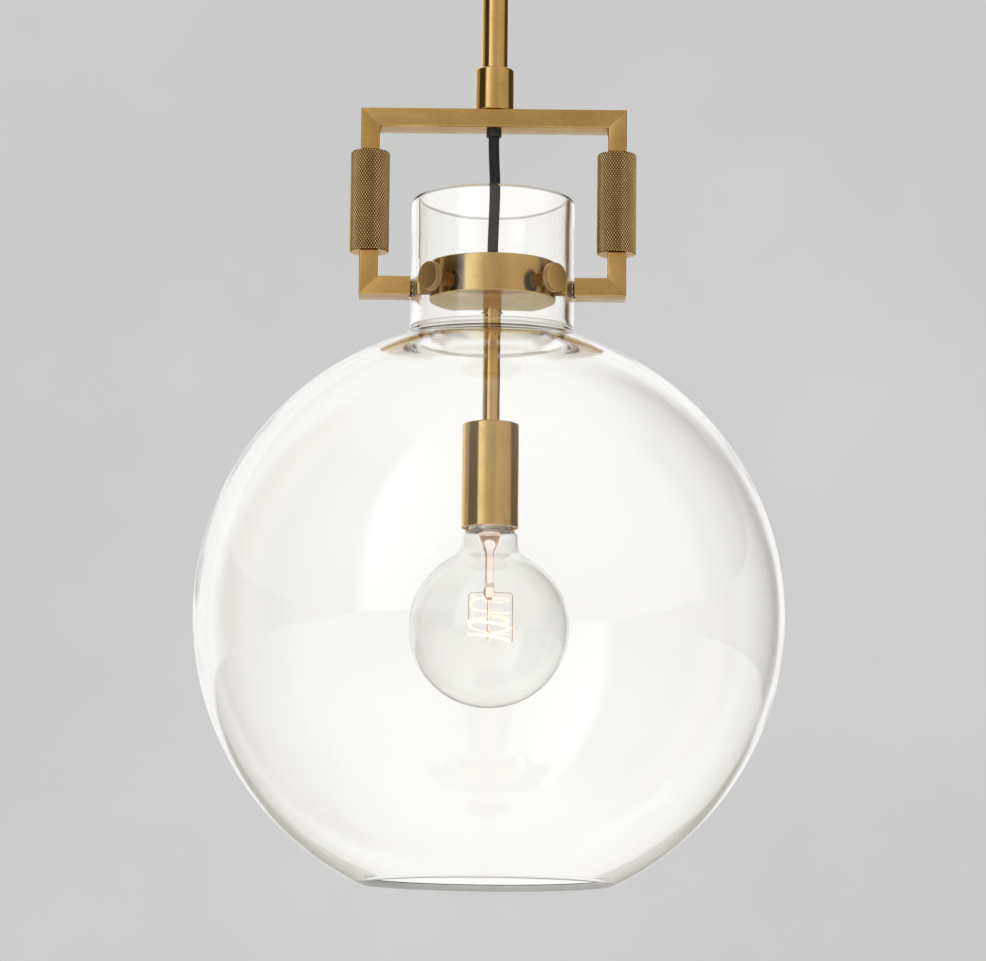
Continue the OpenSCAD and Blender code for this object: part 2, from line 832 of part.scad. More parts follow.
// Half outline of the bulb, set in from its outer face
module bulb_outline(inset) {
    r = bulb_r - inset;
    neck = bulb_neck_r - inset;
    blend = bulb_blend + inset;
    rise = sqrt(pow(r + blend, 2) - pow(neck + blend, 2));
    meet = r / (r + blend);
    shoulder = bulb_shoulder - inset;
    neck_top = base_end - bulb_z - inset;
    intersection() {
        circle(r = r);
        translate([0, -r]) square([r, 2 * r]);
    }
    difference() {
        polygon([[0, 0], [meet * (neck + blend), meet * rise], [neck, rise], [0, rise]]);
        translate([neck + blend, rise]) circle(r = blend);
    }
    translate([0, rise - 0.01]) square([neck, neck_top - shoulder - rise + 0.01]);
    translate([0, rise - 0.01]) square([neck - shoulder, neck_top - rise + 0.01]);
    translate([neck - shoulder, neck_top - shoulder]) circle(r = shoulder);
}

module bulb_envelope() {
    color(clear) translate([0, 0, bulb_z]) rotate_extrude() difference() {
        bulb_outline(0);
        bulb_outline(bulb_wall);
    }
}

module bulb_mount() {
    mount_top = base_end - bulb_wall - 0.1;
    color(clear) union() {
        translate([0, 0, mount_top - flare_h]) cylinder(r1 = mount_r, r2 = flare_r, h = flare_h);
        translate([0, 0, press_z]) cylinder(r = mount_r, h = mount_top - flare_h - press_z);
        translate([0, 0, press_z]) sphere(r = press_r);
        translate([0, 0, filament_end]) cylinder(r = mount_rod_r, h = press_z - filament_end);
    }
}

// Two leads carry the filament's ends, and a thin hook from the rod holds the middle of each half turn
module bulb_supports() {
    color(steel) {
        filament_lead(-1, filament_r, filament_top + filament_wire_r + 0.05);
        filament_lead(1, filament_r + 2, filament_end - support_r);
        translate([filament_r + filament_wire_r + 0.05, 0, filament_end]) rotate([0, 90, 0])
            cylinder(r = support_r, h = 2 - filament_wire_r - 0.05);
        for (i = [0 : half_turns - 1])
            translate([0, 0, half_turn_z(i)]) rotate([i % 2 == 0 ? 90 : -90, 0, 0])
                translate([0, 0, mount_rod_r + fit])
                    cylinder(r = hook_r, h = filament_r - filament_wire_r - mount_rod_r - 0.1);
    }
}

// Lead that leaves the press sideways and turns down to an end height
module filament_lead(side, x, end) {
    translate([side * x, 0, end]) cylinder(r = support_r, h = press_z - end + support_r);
    translate([side * (press_r + fit), 0, press_z]) rotate([0, side * 90, 0])
        cylinder(r = support_r, h = x - press_r - fit);
}

module bulb_filament() {
    lean = atan(half_drop / 2 / filament_r);
    color(glowing) for (i = [0 : half_turns - 1])
        translate([0, 0, half_turn_z(i)]) rotate([0, i % 2 == 0 ? lean : -lean, 0])
            rotate([0, 0, (i % 2 == 0 ? 270 : 90) - half_turn_angle / 2])
                rotate_extrude(angle = half_turn_angle)
                    translate([filament_r / cos(lean), 0]) circle(r = filament_wire_r);
}

crossbar();
ceiling_nipple();
nipple_locknut();
ground_screw();
ceiling_lead();
canopy();
canopy_ring();
swivel_fork();
swivel_pins();
stem_knuckle();
stem_tube();
stem_lead();
stem_collar();
collar_screw_tube();
cord_bushing();
upper_yoke();
grip_stud(-1);  // grip_stud_left
grip_stud(1);  // grip_stud_right
grip(-1);  // grip_left
grip(1);  // grip_right
lower_arm(-1);  // lower_arm_left
lower_arm(1);  // lower_arm_right
arm_screws();
arm_gaskets();
shade_spacers();
glass_shade();
disc_body();
disc_cover();
cover_screws();
disc_grommet();
supply_cord();
cord_clamp();
drop_coupling();
coupling_nut();
lock_ring();
drop_rod();
rod_leads();
rod_nut();
socket_cup();
lampholder_cap();
terminal_screws();
lampholder_body();
screw_shell();
centre_contact();
thumbscrew(screw_angles[0]);  // thumbscrew_left
thumbscrew(screw_angles[1]);  // thumbscrew_right
thumb_washer(screw_angles[0]);  // thumb_washer_left
thumb_washer(screw_angles[1]);  // thumb_washer_right
bulb_contact();
bulb_base();
bulb_envelope();
bulb_mount();
bulb_supports();
bulb_filament();
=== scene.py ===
"""Pendant ceiling light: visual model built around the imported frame, in metres."""

import math

import bmesh
import bpy
from mathutils import Matrix, Vector, noise


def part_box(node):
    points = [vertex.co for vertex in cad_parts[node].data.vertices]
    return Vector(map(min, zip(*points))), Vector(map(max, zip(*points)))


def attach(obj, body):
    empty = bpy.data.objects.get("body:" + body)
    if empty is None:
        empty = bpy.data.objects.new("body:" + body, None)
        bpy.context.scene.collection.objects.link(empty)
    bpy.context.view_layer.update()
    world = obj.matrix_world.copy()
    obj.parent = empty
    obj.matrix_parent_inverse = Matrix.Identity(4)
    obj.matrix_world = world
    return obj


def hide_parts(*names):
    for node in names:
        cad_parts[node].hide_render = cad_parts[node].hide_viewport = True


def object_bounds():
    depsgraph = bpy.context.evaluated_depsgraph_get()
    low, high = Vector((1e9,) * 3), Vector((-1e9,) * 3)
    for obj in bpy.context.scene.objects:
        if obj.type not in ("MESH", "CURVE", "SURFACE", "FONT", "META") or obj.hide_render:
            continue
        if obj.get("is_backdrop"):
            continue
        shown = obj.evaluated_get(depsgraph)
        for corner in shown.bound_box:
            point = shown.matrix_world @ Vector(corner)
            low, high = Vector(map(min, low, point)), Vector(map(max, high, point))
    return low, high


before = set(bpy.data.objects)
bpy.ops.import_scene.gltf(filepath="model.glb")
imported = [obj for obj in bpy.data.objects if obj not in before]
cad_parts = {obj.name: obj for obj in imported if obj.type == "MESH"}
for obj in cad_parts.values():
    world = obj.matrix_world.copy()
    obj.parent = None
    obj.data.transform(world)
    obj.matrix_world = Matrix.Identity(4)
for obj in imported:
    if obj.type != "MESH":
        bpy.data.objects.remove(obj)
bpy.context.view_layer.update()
MM = 0.001
TURN = 2 * math.pi
# Clearance of a shaft in its hole, as in part.scad
FIT = 0.05 * MM
# Angles of the two thumbscrews about the axis, in degrees
CORNERS = {"left": 225, "right": 315}
# Edges that bend by more than this many degrees are drawn sharp
SHARP, BAR_SHARP, JOINED_SHARP = 32, 28, 40
MERGE_DIST, DEGENERATE_DIST = 1e-7, 1e-8


def span(node):
    """Radius, lowest z and highest z of an upright turned CAD node."""
    low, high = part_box(node)
    return (high.x - low.x) / 2, low.z, high.z


# ---- Sizes that the frame gives ----
YOKE_LOW, YOKE_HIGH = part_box("upper_yoke")
YOKE_TOP = YOKE_HIGH.z
YOKE_HALF = YOKE_HIGH.x
BAR_DEPTH = YOKE_HIGH.y - YOKE_LOW.y
BAR_W = 11.4 * MM
FIX_Z = sum(p.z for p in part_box("arm_screws")) / 2
GLOBE_R, MOUTH_Z, RIM_Z = span("glass_shade")

# ---- Camera: the photograph's viewing angle ----
LENS_PER_WIDTH = 4000 / 986
SENSOR = 36
camera_data = bpy.data.cameras.new("camera")
camera_data.sensor_width = SENSOR
camera_data.lens = SENSOR * LENS_PER_WIDTH
camera_data.clip_start = 0.05
camera_data.clip_end = 100
camera = bpy.data.objects.new("camera", camera_data)
bpy.context.scene.collection.objects.link(camera)
bpy.context.scene.camera = camera
CAMERA_AWAY = 2.354
CAMERA_UNDER = 0.593
CAMERA_ASIDE = 0.0016
CAMERA_PITCH = 0.155
CAMERA_ROLL = 0.0105
camera.matrix_world = (
    Matrix.Translation((CAMERA_ASIDE, -CAMERA_AWAY, YOKE_TOP - CAMERA_UNDER))
    @ Matrix.Rotation(math.pi / 2 + CAMERA_PITCH, 4, "X")
    @ Matrix.Rotation(CAMERA_ROLL, 4, "Z")
)


# ---- Mesh helpers ----
def make(name, verts, faces, material, sharp=SHARP):
    """Mesh object with outward normals, merged doubles and edges sharp above an angle."""
    bm = bmesh.new()
    made = [bm.verts.new(v) for v in verts]
    for f in faces:
        bm.faces.new([made[i] for i in f])
    bmesh.ops.remove_doubles(bm, verts=bm.verts, dist=MERGE_DIST)
    bmesh.ops.dissolve_degenerate(bm, edges=bm.edges, dist=DEGENERATE_DIST)
    bmesh.ops.recalc_face_normals(bm, faces=bm.faces)
    me = bpy.data.meshes.new(name)
    bm.to_mesh(me)
    bm.free()
    me.shade_smooth()
    me.set_sharp_from_angle(angle=math.radians(sharp))
    ob = bpy.data.objects.new(name, me)
    bpy.context.scene.collection.objects.link(ob)
    me.materials.append(material)
    return ob


def settle(ob, body, slot, *nodes):
    """Rides a new piece on its body, in place of the CAD nodes it stands for."""
    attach(ob, body)
    if nodes:
        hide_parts(*nodes)
    return ob


def filleted(outline, steps=5):
    """Closed outline of (x, y, radius) with each corner rounded by its radius.
    A fillet takes up less than half of each side that it joins."""
    most = 0.49
    out = []
    count = len(outline)
    for i, (x, y, radius) in enumerate(outline):
        p = Vector((x, y))
        a = Vector(outline[i - 1][:2]) - p
        b = Vector(outline[(i + 1) % count][:2]) - p
        if radius <= 0 or a.length < 1e-9 or b.length < 1e-9:
            out.append((x, y))
            continue
        half = a.angle(b) / 2
        reach = min(radius / math.tan(half), a.length * most, b.length * most)
        radius = reach * math.tan(half)
        a.normalize()
        b.normalize()
        centre = p + (a + b).normalized() * (radius / math.sin(half))
        start, end = p + a * reach - centre, p + b * reach - centre
        for k in range(steps + 1):
            t = k / steps
            v = start.lerp(end, t).normalized() * radius + centre
            out.append((v.x, v.y))
    return out


def rings(name, loops, material, closed=False, matrix=None, sharp=SHARP, knurl=None):
    """Skin over loops of equal length. closed joins the last to the first.
    knurl is the range of loops whose quads split along their low corners."""
    width = len(loops[0])
    verts = [v for loop in loops for v in loop]
    faces = []
    last = len(loops) if closed else len(loops) - 1
    for j in range(last):
        low, high = j * width, ((j + 1) % len(loops)) * width
        for i in range(width):
            n = (i + 1) % width
            a, b, c, d = low + i, low + n, high + n, high + i
            if knurl and knurl[0] <= j < knurl[1]:
                if (i + j - knurl[0]) % 2 == 0:
                    faces += [(a, b, c), (a, c, d)]
                else:
                    faces += [(a, b, d), (b, c, d)]
            else:
                faces.append((a, b, c, d))
    if not closed:
        faces.append(tuple(reversed(range(width))))
        faces.append(tuple(range((len(loops) - 1) * width, len(loops) * width)))
    if matrix is not None:
        verts = [matrix @ Vector(v) for v in verts]
    return make(name, verts, faces, material, sharp)


def circle(r, z, count):
    """Level circle of points about the axis."""
    return [
        (r * math.cos(TURN * i / count), r * math.sin(TURN * i / count), z) for i in range(count)
    ]


def turned(name, outline, material, count=96, matrix=None, steps=5, sharp=SHARP):
    """Solid of revolution about z from a closed outline of (radius, z, fillet)."""
    loops = [circle(r, z, count) for r, z in filleted(outline, steps)]
    return rings(name, loops, material, closed=True, matrix=matrix, sharp=sharp)


def ring_outline(inner, outer, low, high, edge):
    """Outline of a plain sleeve with its outer edges rounded."""
    return [(inner, low, 0), (outer, low, edge), (outer, high, edge), (inner, high, 0)]


def outwards(angle, z):
    """Matrix that points local +Z outwards from the axis at an angle and a height."""
    return (
        Matrix.Translation((0, 0, z))
        @ Matrix.Rotation(math.radians(angle), 4, "Z")
        @ Matrix.Rotation(math.pi / 2, 4, "Y")
    )


def tube(name, path, r, material, sides=12):
    """Round wire along a path of points, with closed ends."""
    points = [Vector(p) for p in path]
    loops = []
    side = None
    for i, p in enumerate(points):
        ahead = points[min(i + 1, len(points) - 1)] - points[max(i - 1, 0)]
        ahead.normalize()
        if side is None:
            side = ahead.orthogonal().normalized()
        side = (side - ahead * side.dot(ahead)).normalized()
        up = ahead.cross(side)
        loops.append(
            [
                tuple(
                    p
                    + side * (r * math.cos(TURN * k / sides))
                    + up * (r * math.sin(TURN * k / sides))
                )
                for k in range(sides)
            ]
        )
    return rings(name, loops, material)


def cut(ob, cutters):
    """Takes the cutters' solids out of a mesh."""
    for c in cutters:
        mod = ob.modifiers.new("cut", "BOOLEAN")
        mod.operation = "DIFFERENCE"
        mod.solver = "EXACT"
        mod.object = c
    deps = bpy.context.evaluated_depsgraph_get()
    me = bpy.data.meshes.new_from_object(ob.evaluated_get(deps), depsgraph=deps)
    ob.modifiers.clear()
    old = ob.data
    ob.data = me
    me.name = old.name
    bpy.data.meshes.remove(old)
    for c in cutters:
        bpy.data.objects.remove(c)
    me.set_sharp_from_angle(angle=math.radians(SHARP))


def joined(name, parts):
    """One mesh object from several."""
    bm = bmesh.new()
    for p in parts:
        bm.from_mesh(p.data)
    me = bpy.data.meshes.new(name)
    bm.to_mesh(me)
    bm.free()
    for m in parts[0].data.materials:
        me.materials.append(m)
    me.shade_smooth()
    me.set_sharp_from_angle(angle=math.radians(JOINED_SHARP))
    for p in parts:
        bpy.data.objects.remove(p)
    ob = bpy.data.objects.new(name, me)
    bpy.context.scene.collection.objects.link(ob)
    return ob


# ---- Materials ----
def new_material(name):
    """A material, its node tree and its Principled shader."""
    mat = bpy.data.materials.new(name)
    mat.use_nodes = True
    tree = mat.node_tree
    return mat, tree, tree.nodes["Principled BSDF"]


def place_of(tree, scale=(1, 1, 1)):
    """Object coordinates, stretched."""
    coord = tree.nodes.new("ShaderNodeTexCoord")
    mapping = tree.nodes.new("ShaderNodeMapping")
    mapping.inputs["Scale"].default_value = scale
    tree.links.new(coord.outputs["Object"], mapping.inputs["Vector"])
    return mapping.outputs["Vector"]


def noise_of(tree, vector, scale, detail=4, rough=0.55, distortion=0.0):
    n = tree.nodes.new("ShaderNodeTexNoise")
    n.inputs["Scale"].default_value = scale
    n.inputs["Detail"].default_value = detail
    n.inputs["Roughness"].default_value = rough
    n.inputs["Distortion"].default_value = distortion
    tree.links.new(vector, n.inputs["Vector"])
    return n.outputs["Fac"]


def ramp_of(tree, fac, stops):
    """Colour ramp over a factor. stops are (position, colour)."""
    r = tree.nodes.new("ShaderNodeValToRGB")
    band = r.color_ramp
    while len(band.elements) < len(stops):
        band.elements.new(0.5)
    for e, (at, colour) in zip(band.elements, stops):
        e.position = at
        e.color = (*colour, 1)
    tree.links.new(fac, r.inputs["Fac"])
    return r.outputs["Color"]


def span_of(tree, fac, low, high, at=(0.3, 0.7)):
    """Maps a factor to a range."""
    m = tree.nodes.new("ShaderNodeMapRange")
    m.inputs["From Min"].default_value, m.inputs["From Max"].default_value = at
    m.inputs["To Min"].default_value, m.inputs["To Max"].default_value = low, high
    tree.links.new(fac, m.inputs["Value"])
    return m.outputs["Result"]


def mix_of(tree, fac, a, b, mode="MIX"):
    """Mixed colour. Each input is a number, a colour or another node's output."""
    m = tree.nodes.new("ShaderNodeMix")
    m.data_type = "RGBA"
    m.blend_type = mode
    for value, socket in ((fac, m.inputs[0]), (a, m.inputs[6]), (b, m.inputs[7])):
        if isinstance(value, (int, float)):
            socket.default_value = value
        elif isinstance(value, tuple):
            socket.default_value = (*value, 1)
        else:
            tree.links.new(value, socket)
    return m.outputs[2]


def bump_of(tree, shader, height, strength, distance):
    """Gives a shader a bump from a height."""
    b = tree.nodes.new("ShaderNodeBump")
    b.inputs["Strength"].default_value = strength
    b.inputs["Distance"].default_value = distance
    tree.links.new(height, b.inputs["Height"])
    tree.links.new(b.outputs["Normal"], shader.inputs["Normal"])


def brass(name, light, dark, rough, lines, patina=0.5):
    """Aged brass: patina clouds, small spots, and fine tooling lines along one direction."""
    mat, tree, shader = new_material(name)
    shader.inputs["Metallic"].default_value = 1
    place = place_of(tree)
    clouds = noise_of(tree, place, 38, detail=5, rough=0.6, distortion=0.3)
    spots = noise_of(tree, place, 300, detail=4, rough=0.6)
    fine = noise_of(tree, place_of(tree, lines), 1, detail=2)
    tone = ramp_of(tree, clouds, [(0.36, dark), (0.62, light)])
    speck = ramp_of(tree, spots, [(0.3, (0.84, 0.8, 0.74)), (0.5, (1, 1, 1))])
    base = mix_of(tree, patina, tone, speck, "MULTIPLY")
    tooling = ramp_of(tree, fine, [(0.3, (0.5, 0.5, 0.5)), (0.7, (1, 1, 1))])
    shade = mix_of(tree, 0.12, base, tooling, "MULTIPLY")
    tree.links.new(shade, shader.inputs["Base Color"])
    tree.links.new(span_of(tree, clouds, rough + 0.07, rough), shader.inputs["Roughness"])
    bump_of(tree, shader, fine, 0.12, 0.00004)
    return mat


BRASS_LIGHT, BRASS_DARK = (0.74, 0.505, 0.205), (0.66, 0.44, 0.16)
# Stretch of the tooling lines: rings round a turned part, lines along a flat bar, none on a face
TURNED_LINES, BAR_LINES, NO_LINES = (60, 60, 2600), (900, 60, 900), (500, 500, 500)
turned_brass = brass("turned_brass", BRASS_LIGHT, BRASS_DARK, 0.12, TURNED_LINES)
flat_brass = brass("flat_brass", (0.70, 0.46, 0.185), (0.60, 0.38, 0.14), 0.2, BAR_LINES, 0.6)
face_brass = brass("face_brass", (0.82, 0.57, 0.26), (0.74, 0.5, 0.21), 0.3, NO_LINES)
dark_brass = brass("dark_brass", (0.34, 0.2, 0.075), (0.24, 0.135, 0.045), 0.3, TURNED_LINES)


def knurled_material(name, centre, axis_z, radius, depth):
    """Brass with painted light: a painted highlight on a knurl's tips and painted shade in its
    grooves, by distance from its axis.
    """
    mat, tree, shader = new_material(name)
    shader.inputs["Metallic"].default_value = 1
    coord = tree.nodes.new("ShaderNodeTexCoord")
    mapping = tree.nodes.new("ShaderNodeMapping")
    mapping.vector_type = "TEXTURE"
    mapping.inputs["Location"].default_value = centre
    mapping.inputs["Rotation"].default_value = axis_z
    tree.links.new(coord.outputs["Object"], mapping.inputs["Vector"])
    flat = tree.nodes.new("ShaderNodeVectorMath")
    flat.operation = "MULTIPLY"
    flat.inputs[1].default_value = (1, 1, 0)
    tree.links.new(mapping.outputs["Vector"], flat.inputs[0])
    away = tree.nodes.new("ShaderNodeVectorMath")
    away.operation = "LENGTH"
    tree.links.new(flat.outputs["Vector"], away.inputs[0])
    height = span_of(tree, away.outputs["Value"], 0, 1, (radius - depth, radius))
    clouds = noise_of(tree, place_of(tree), 90, detail=4)
    # Painted shade in the grooves and painted highlight on the tips, from near black up to pale
    # cream
    painted_tip_highlight_and_groove_shade = ramp_of(
        tree,
        height,
        [
            (0.0, (0.05, 0.022, 0.006)),
            (0.22, (0.16, 0.085, 0.025)),
            (0.48, (0.85, 0.58, 0.24)),
            (1.0, (1.0, 0.88, 0.6)),
        ],
    )
    patina = ramp_of(tree, clouds, [(0.35, (0.6, 0.55, 0.5)), (0.65, (1, 1, 1))])
    # The painted highlight and shade, toned by patina clouds
    patina_and_painted_light = mix_of(tree, 0.35, painted_tip_highlight_and_groove_shade, patina, "MULTIPLY")
    tree.links.new(patina_and_painted_light, shader.inputs["Base Color"])
    tree.links.new(span_of(tree, height, 0.5, 0.16, (0, 1)), shader.inputs["Roughness"])
    bump_of(tree, shader, clouds, 0.1, 0.00003)
    return mat


def plain(name, low, high, rough, metallic=0.0, grain=200, bump=0.1, **fixed):
    """Finish with a little tone and gloss variation. fixed are the shader's own sockets."""
    mat, tree, shader = new_material(name)
    shader.inputs["Metallic"].default_value = metallic
    fac = noise_of(tree, place_of(tree), grain, detail=4)
    tree.links.new(ramp_of(tree, fac, [(0.3, low), (0.7, high)]), shader.inputs["Base Color"])
    tree.links.new(span_of(tree, fac, rough, rough + 0.12), shader.inputs["Roughness"])
    bump_of(tree, shader, fac, bump, 0.00005)
    for socket, value in fixed.items():
        shader.inputs[socket.replace("_", " ")].default_value = value
    return mat


steel = plain("plated_steel", (0.52, 0.53, 0.54), (0.68, 0.69, 0.7), 0.24, 1.0, 260)
cap_metal = plain("cap_metal", (0.7, 0.68, 0.62), (0.84, 0.82, 0.76), 0.2, 1.0, 300)
green_metal = plain("green_screw", (0.04, 0.2, 0.08), (0.08, 0.32, 0.14), 0.3, 0.7, 400)
black_plastic = plain("black_plastic", (0.012, 0.012, 0.013), (0.03, 0.03, 0.032), 0.42, grain=900)
black_rubber = plain("black_rubber", (0.014, 0.014, 0.015), (0.03, 0.03, 0.03), 0.55, grain=700)
black_glass = plain("cap_insulator", (0.01, 0.009, 0.012), (0.03, 0.025, 0.03), 0.12, grain=500)
porcelain = plain("porcelain", (0.8, 0.79, 0.74), (0.9, 0.89, 0.85), 0.12, grain=160, bump=0.05)
insulation = plain("white_insulation", (0.72, 0.72, 0.69), (0.84, 0.84, 0.8), 0.35, grain=500)


def glass(name, tint, ripple, ripple_size, strength, glow=0.0):
    """Clear glass with faint blown ripples. Lamps reach what is behind it. glow is painted glow: a
    faint warm emission, though the glass is no lamp.
    """
    mat, tree, shader = new_material(name)
    shader.inputs["Base Color"].default_value = (*tint, 1)
    shader.inputs["Transmission Weight"].default_value = 1
    shader.inputs["Roughness"].default_value = 0
    shader.inputs["IOR"].default_value = 1.48
    # Warm colour of the painted glow
    shader.inputs["Emission Color"].default_value = (1.0, 0.5, 0.28, 1)
    shader.inputs["Emission Strength"].default_value = glow
    wave = noise_of(tree, place_of(tree), ripple_size, detail=2, rough=0.4)
    bump_of(tree, shader, wave, strength, ripple)
    out = tree.nodes["Material Output"]
    path = tree.nodes.new("ShaderNodeLightPath")
    clear = tree.nodes.new("ShaderNodeBsdfTransparent")
    clear.inputs["Color"].default_value = (*tint, 1)
    mix = tree.nodes.new("ShaderNodeMixShader")
    tree.links.new(path.outputs["Is Shadow Ray"], mix.inputs[0])
    tree.links.new(shader.outputs["BSDF"], mix.inputs[1])
    tree.links.new(clear.outputs["BSDF"], mix.inputs[2])
    tree.links.new(mix.outputs["Shader"], out.inputs["Surface"])
    return mat


clear_glass = glass("clear_glass", (0.985, 0.99, 0.985), 0.0012, 14, 0.25)
bulb_glass = glass("bulb_glass", (0.985, 0.985, 0.98), 0.0006, 30, 0.2)
# The filament's glass mount gets a faint painted glow, in place of the halo round the hot filament
mount_glass = glass("mount_glass", (0.995, 0.98, 0.965), 0.0006, 120, 0.2, glow=0.09)


def fabric():
    """Black braided cotton: yarn tone, fuzz and sheen."""
    mat, tree, shader = new_material("black_fabric")
    fac = noise_of(tree, place_of(tree), 1500, detail=3)
    big = noise_of(tree, place_of(tree), 120, detail=2)
    yarn = ramp_of(tree, fac, [(0.3, (0.003, 0.003, 0.005)), (0.7, (0.014, 0.014, 0.022))])
    patch = ramp_of(tree, big, [(0.3, (0.005, 0.005, 0.008)), (0.7, (0.01, 0.01, 0.018))])
    tone = mix_of(tree, 0.5, yarn, patch)
    tree.links.new(tone, shader.inputs["Base Color"])
    tree.links.new(span_of(tree, fac, 0.65, 0.85), shader.inputs["Roughness"])
    shader.inputs["Sheen Weight"].default_value = 0.06
    shader.inputs["Sheen Roughness"].default_value = 0.4
    bump_of(tree, shader, fac, 0.3, 0.0001)
    return mat


def glowing():
    """Hot tungsten: brighter and dimmer stretches."""
    mat, tree, shader = new_material("tungsten")
    fac = noise_of(tree, place_of(tree), 260, detail=2)
    shader.inputs["Base Color"].default_value = (0.4, 0.2, 0.08, 1)
    glow = ramp_of(tree, fac, [(0.3, (1.0, 0.4, 0.09)), (0.7, (1.0, 0.58, 0.2))])
    tree.links.new(glow, shader.inputs["Emission Color"])
    shader.inputs["Emission Strength"].default_value = 9
    return mat


black_fabric = fabric()
tungsten = glowing()

# ---- Cord: the route of part.scad, in metres ----
CORD_R = 3.25 * MM
CORD_TOP = YOKE_TOP - 7.9 * MM
DISC_R, DISC_LOW, DISC_TOP = span("disc_body")
CORD_END = DISC_TOP - 11 * MM
# Offset from the axis in x and y, in mm, at each step down from the cord's top to its end
CORD_BOW = [
    (0, 0), (0, 0), (0, 0), (0.2, 0), (0.5, 0.1), (0.8, 0.1), (0.95, 0.2), (0.9, 0.2),
    (0.75, 0.2), (0.5, 0.1), (0.3, 0.1), (0.1, 0), (0, 0), (0, 0), (0, 0), (0, 0),
]
STEPS = len(CORD_BOW) - 1
cord_path = [
    (x * MM, y * MM, CORD_TOP + (CORD_END - CORD_TOP) * i / STEPS)
    for i, (x, y) in enumerate(CORD_BOW)
]


def along(path, t):
    """Point at share t of a path, smoothed through its points."""
    f = t * (len(path) - 1)
    i = min(int(f), len(path) - 2)
    p0, p1, p2, p3 = (Vector(path[max(0, min(len(path) - 1, i + k))]) for k in (-1, 0, 1, 2))
    u = f - i
    return 0.5 * (
        2 * p1
        + (p2 - p0) * u
        + (2 * p0 - 5 * p1 + 4 * p2 - p3) * u * u
        + (3 * p1 - p0 - 3 * p2 + p3) * u * u * u
    )


CORD_SIDES, CORD_RINGS = 64, 330
# Yarns round the braid, the height in which one goes round once, and how deep it is between them
YARNS, LAY = 12, 13 * MM
BRAID_DEPTH, GROOVE_SHARE = 0.22 * MM, 0.8
cord_loops = []
for j in range(CORD_RINGS + 1):
    p = along(cord_path, j / CORD_RINGS)
    loop = []
    for i in range(CORD_SIDES):
        a = i / CORD_SIDES
        run = (CORD_TOP - p.z) / LAY
        left = YARNS / 2 * (a + run)
        right = YARNS / 2 * (a - run)
        over = math.sin(TURN * (left + right) / 2) * math.sin(TURN * (left - right) / 2)
        yarn = abs(math.sin(math.pi * (left if over > 0 else right) * 2))
        r = CORD_R - BRAID_DEPTH * (1 - yarn) * GROOVE_SHARE
        loop.append((p.x + r * math.cos(TURN * a), p.y + r * math.sin(TURN * a), p.z))
    cord_loops.append(loop)
cord = rings("supply_cord_braid", cord_loops, black_fabric, sharp=60)
settle(cord, "pendant", "black_fabric", "supply_cord")
BUSHING_LOW = span("cord_bushing")[1]

# ---- Turned brass parts about the lamp's axis ----
STEM_R, STEM_LOW, STEM_HIGH = span("stem_tube")
TUBE_WALL = 1.6 * MM
stem_outline = ring_outline(STEM_R - TUBE_WALL, STEM_R, STEM_LOW, STEM_HIGH, 0.2 * MM)
settle(
    turned("stem", stem_outline, turned_brass),
    "pendant",
    "aged_brass",
    "stem_tube",
)
COLLAR_R, COLLAR_LOW, COLLAR_HIGH = span("stem_collar")
LEAD_BORE = 3.6 * MM
settle(
    turned(
        "collar",
        [
            (LEAD_BORE, COLLAR_LOW, 0),
            (COLLAR_R, COLLAR_LOW, 0.5 * MM),
            (COLLAR_R, COLLAR_HIGH, 1.3 * MM),
            (STEM_R + FIT, COLLAR_HIGH, 0.3 * MM),
            (STEM_R + FIT, STEM_LOW, 0),
            (LEAD_BORE, STEM_LOW, 0),
        ],
        turned_brass,
    ),
    "pendant",
    "aged_brass",
    "stem_collar",
)

BUSHING_R, _, BUSHING_HIGH = span("cord_bushing")
BUSHING_SHOW_R = 4.6 * MM
FLANGE_LOW = BUSHING_HIGH - 1.9 * MM
settle(
    turned(
        "bushing",
        [
            (CORD_R + FIT, BUSHING_LOW, 0.6 * MM),
            (BUSHING_SHOW_R, BUSHING_LOW, 1.0 * MM),
            (BUSHING_SHOW_R, FLANGE_LOW, 0),
            (BUSHING_R, FLANGE_LOW, 0),
            (BUSHING_R, BUSHING_HIGH, 0),
            (CORD_R + FIT, BUSHING_HIGH, 0),
        ],
        black_plastic,
        64,
    ),
    "pendant",
    "black_plastic",
    "cord_bushing",
)


# ---- Yoke and arms: mitred flat bar ----
def prism(bm, corners, y_low, y_high, mitres):
    """Bar from a front outline of (x, z). mitres are the indices of its sides that meet another
    bar, and those sides are what it gives."""
    count = len(corners)
    front = [bm.verts.new((x, y_low, z)) for x, z in corners]
    back = [bm.verts.new((x, y_high, z)) for x, z in corners]
    bm.faces.new(front)
    bm.faces.new(list(reversed(back)))
    sides = []
    for i in range(count):
        j = (i + 1) % count
        sides.append(bm.faces.new([front[j], front[i], back[i], back[j]]))
    bm.normal_update()
    return [sides[i] for i in mitres]


EDGE_R, SEAM_R = 0.9 * MM, 0.08 * MM


def bevelled(bm, edges, offset, segments):
    """Rounds the edges of a mesh."""
    bmesh.ops.bevel(
        bm,
        geom=edges,
        offset=offset,
        segments=segments,
        profile=0.5,
        affect="EDGES",
        clamp_overlap=True,
    )


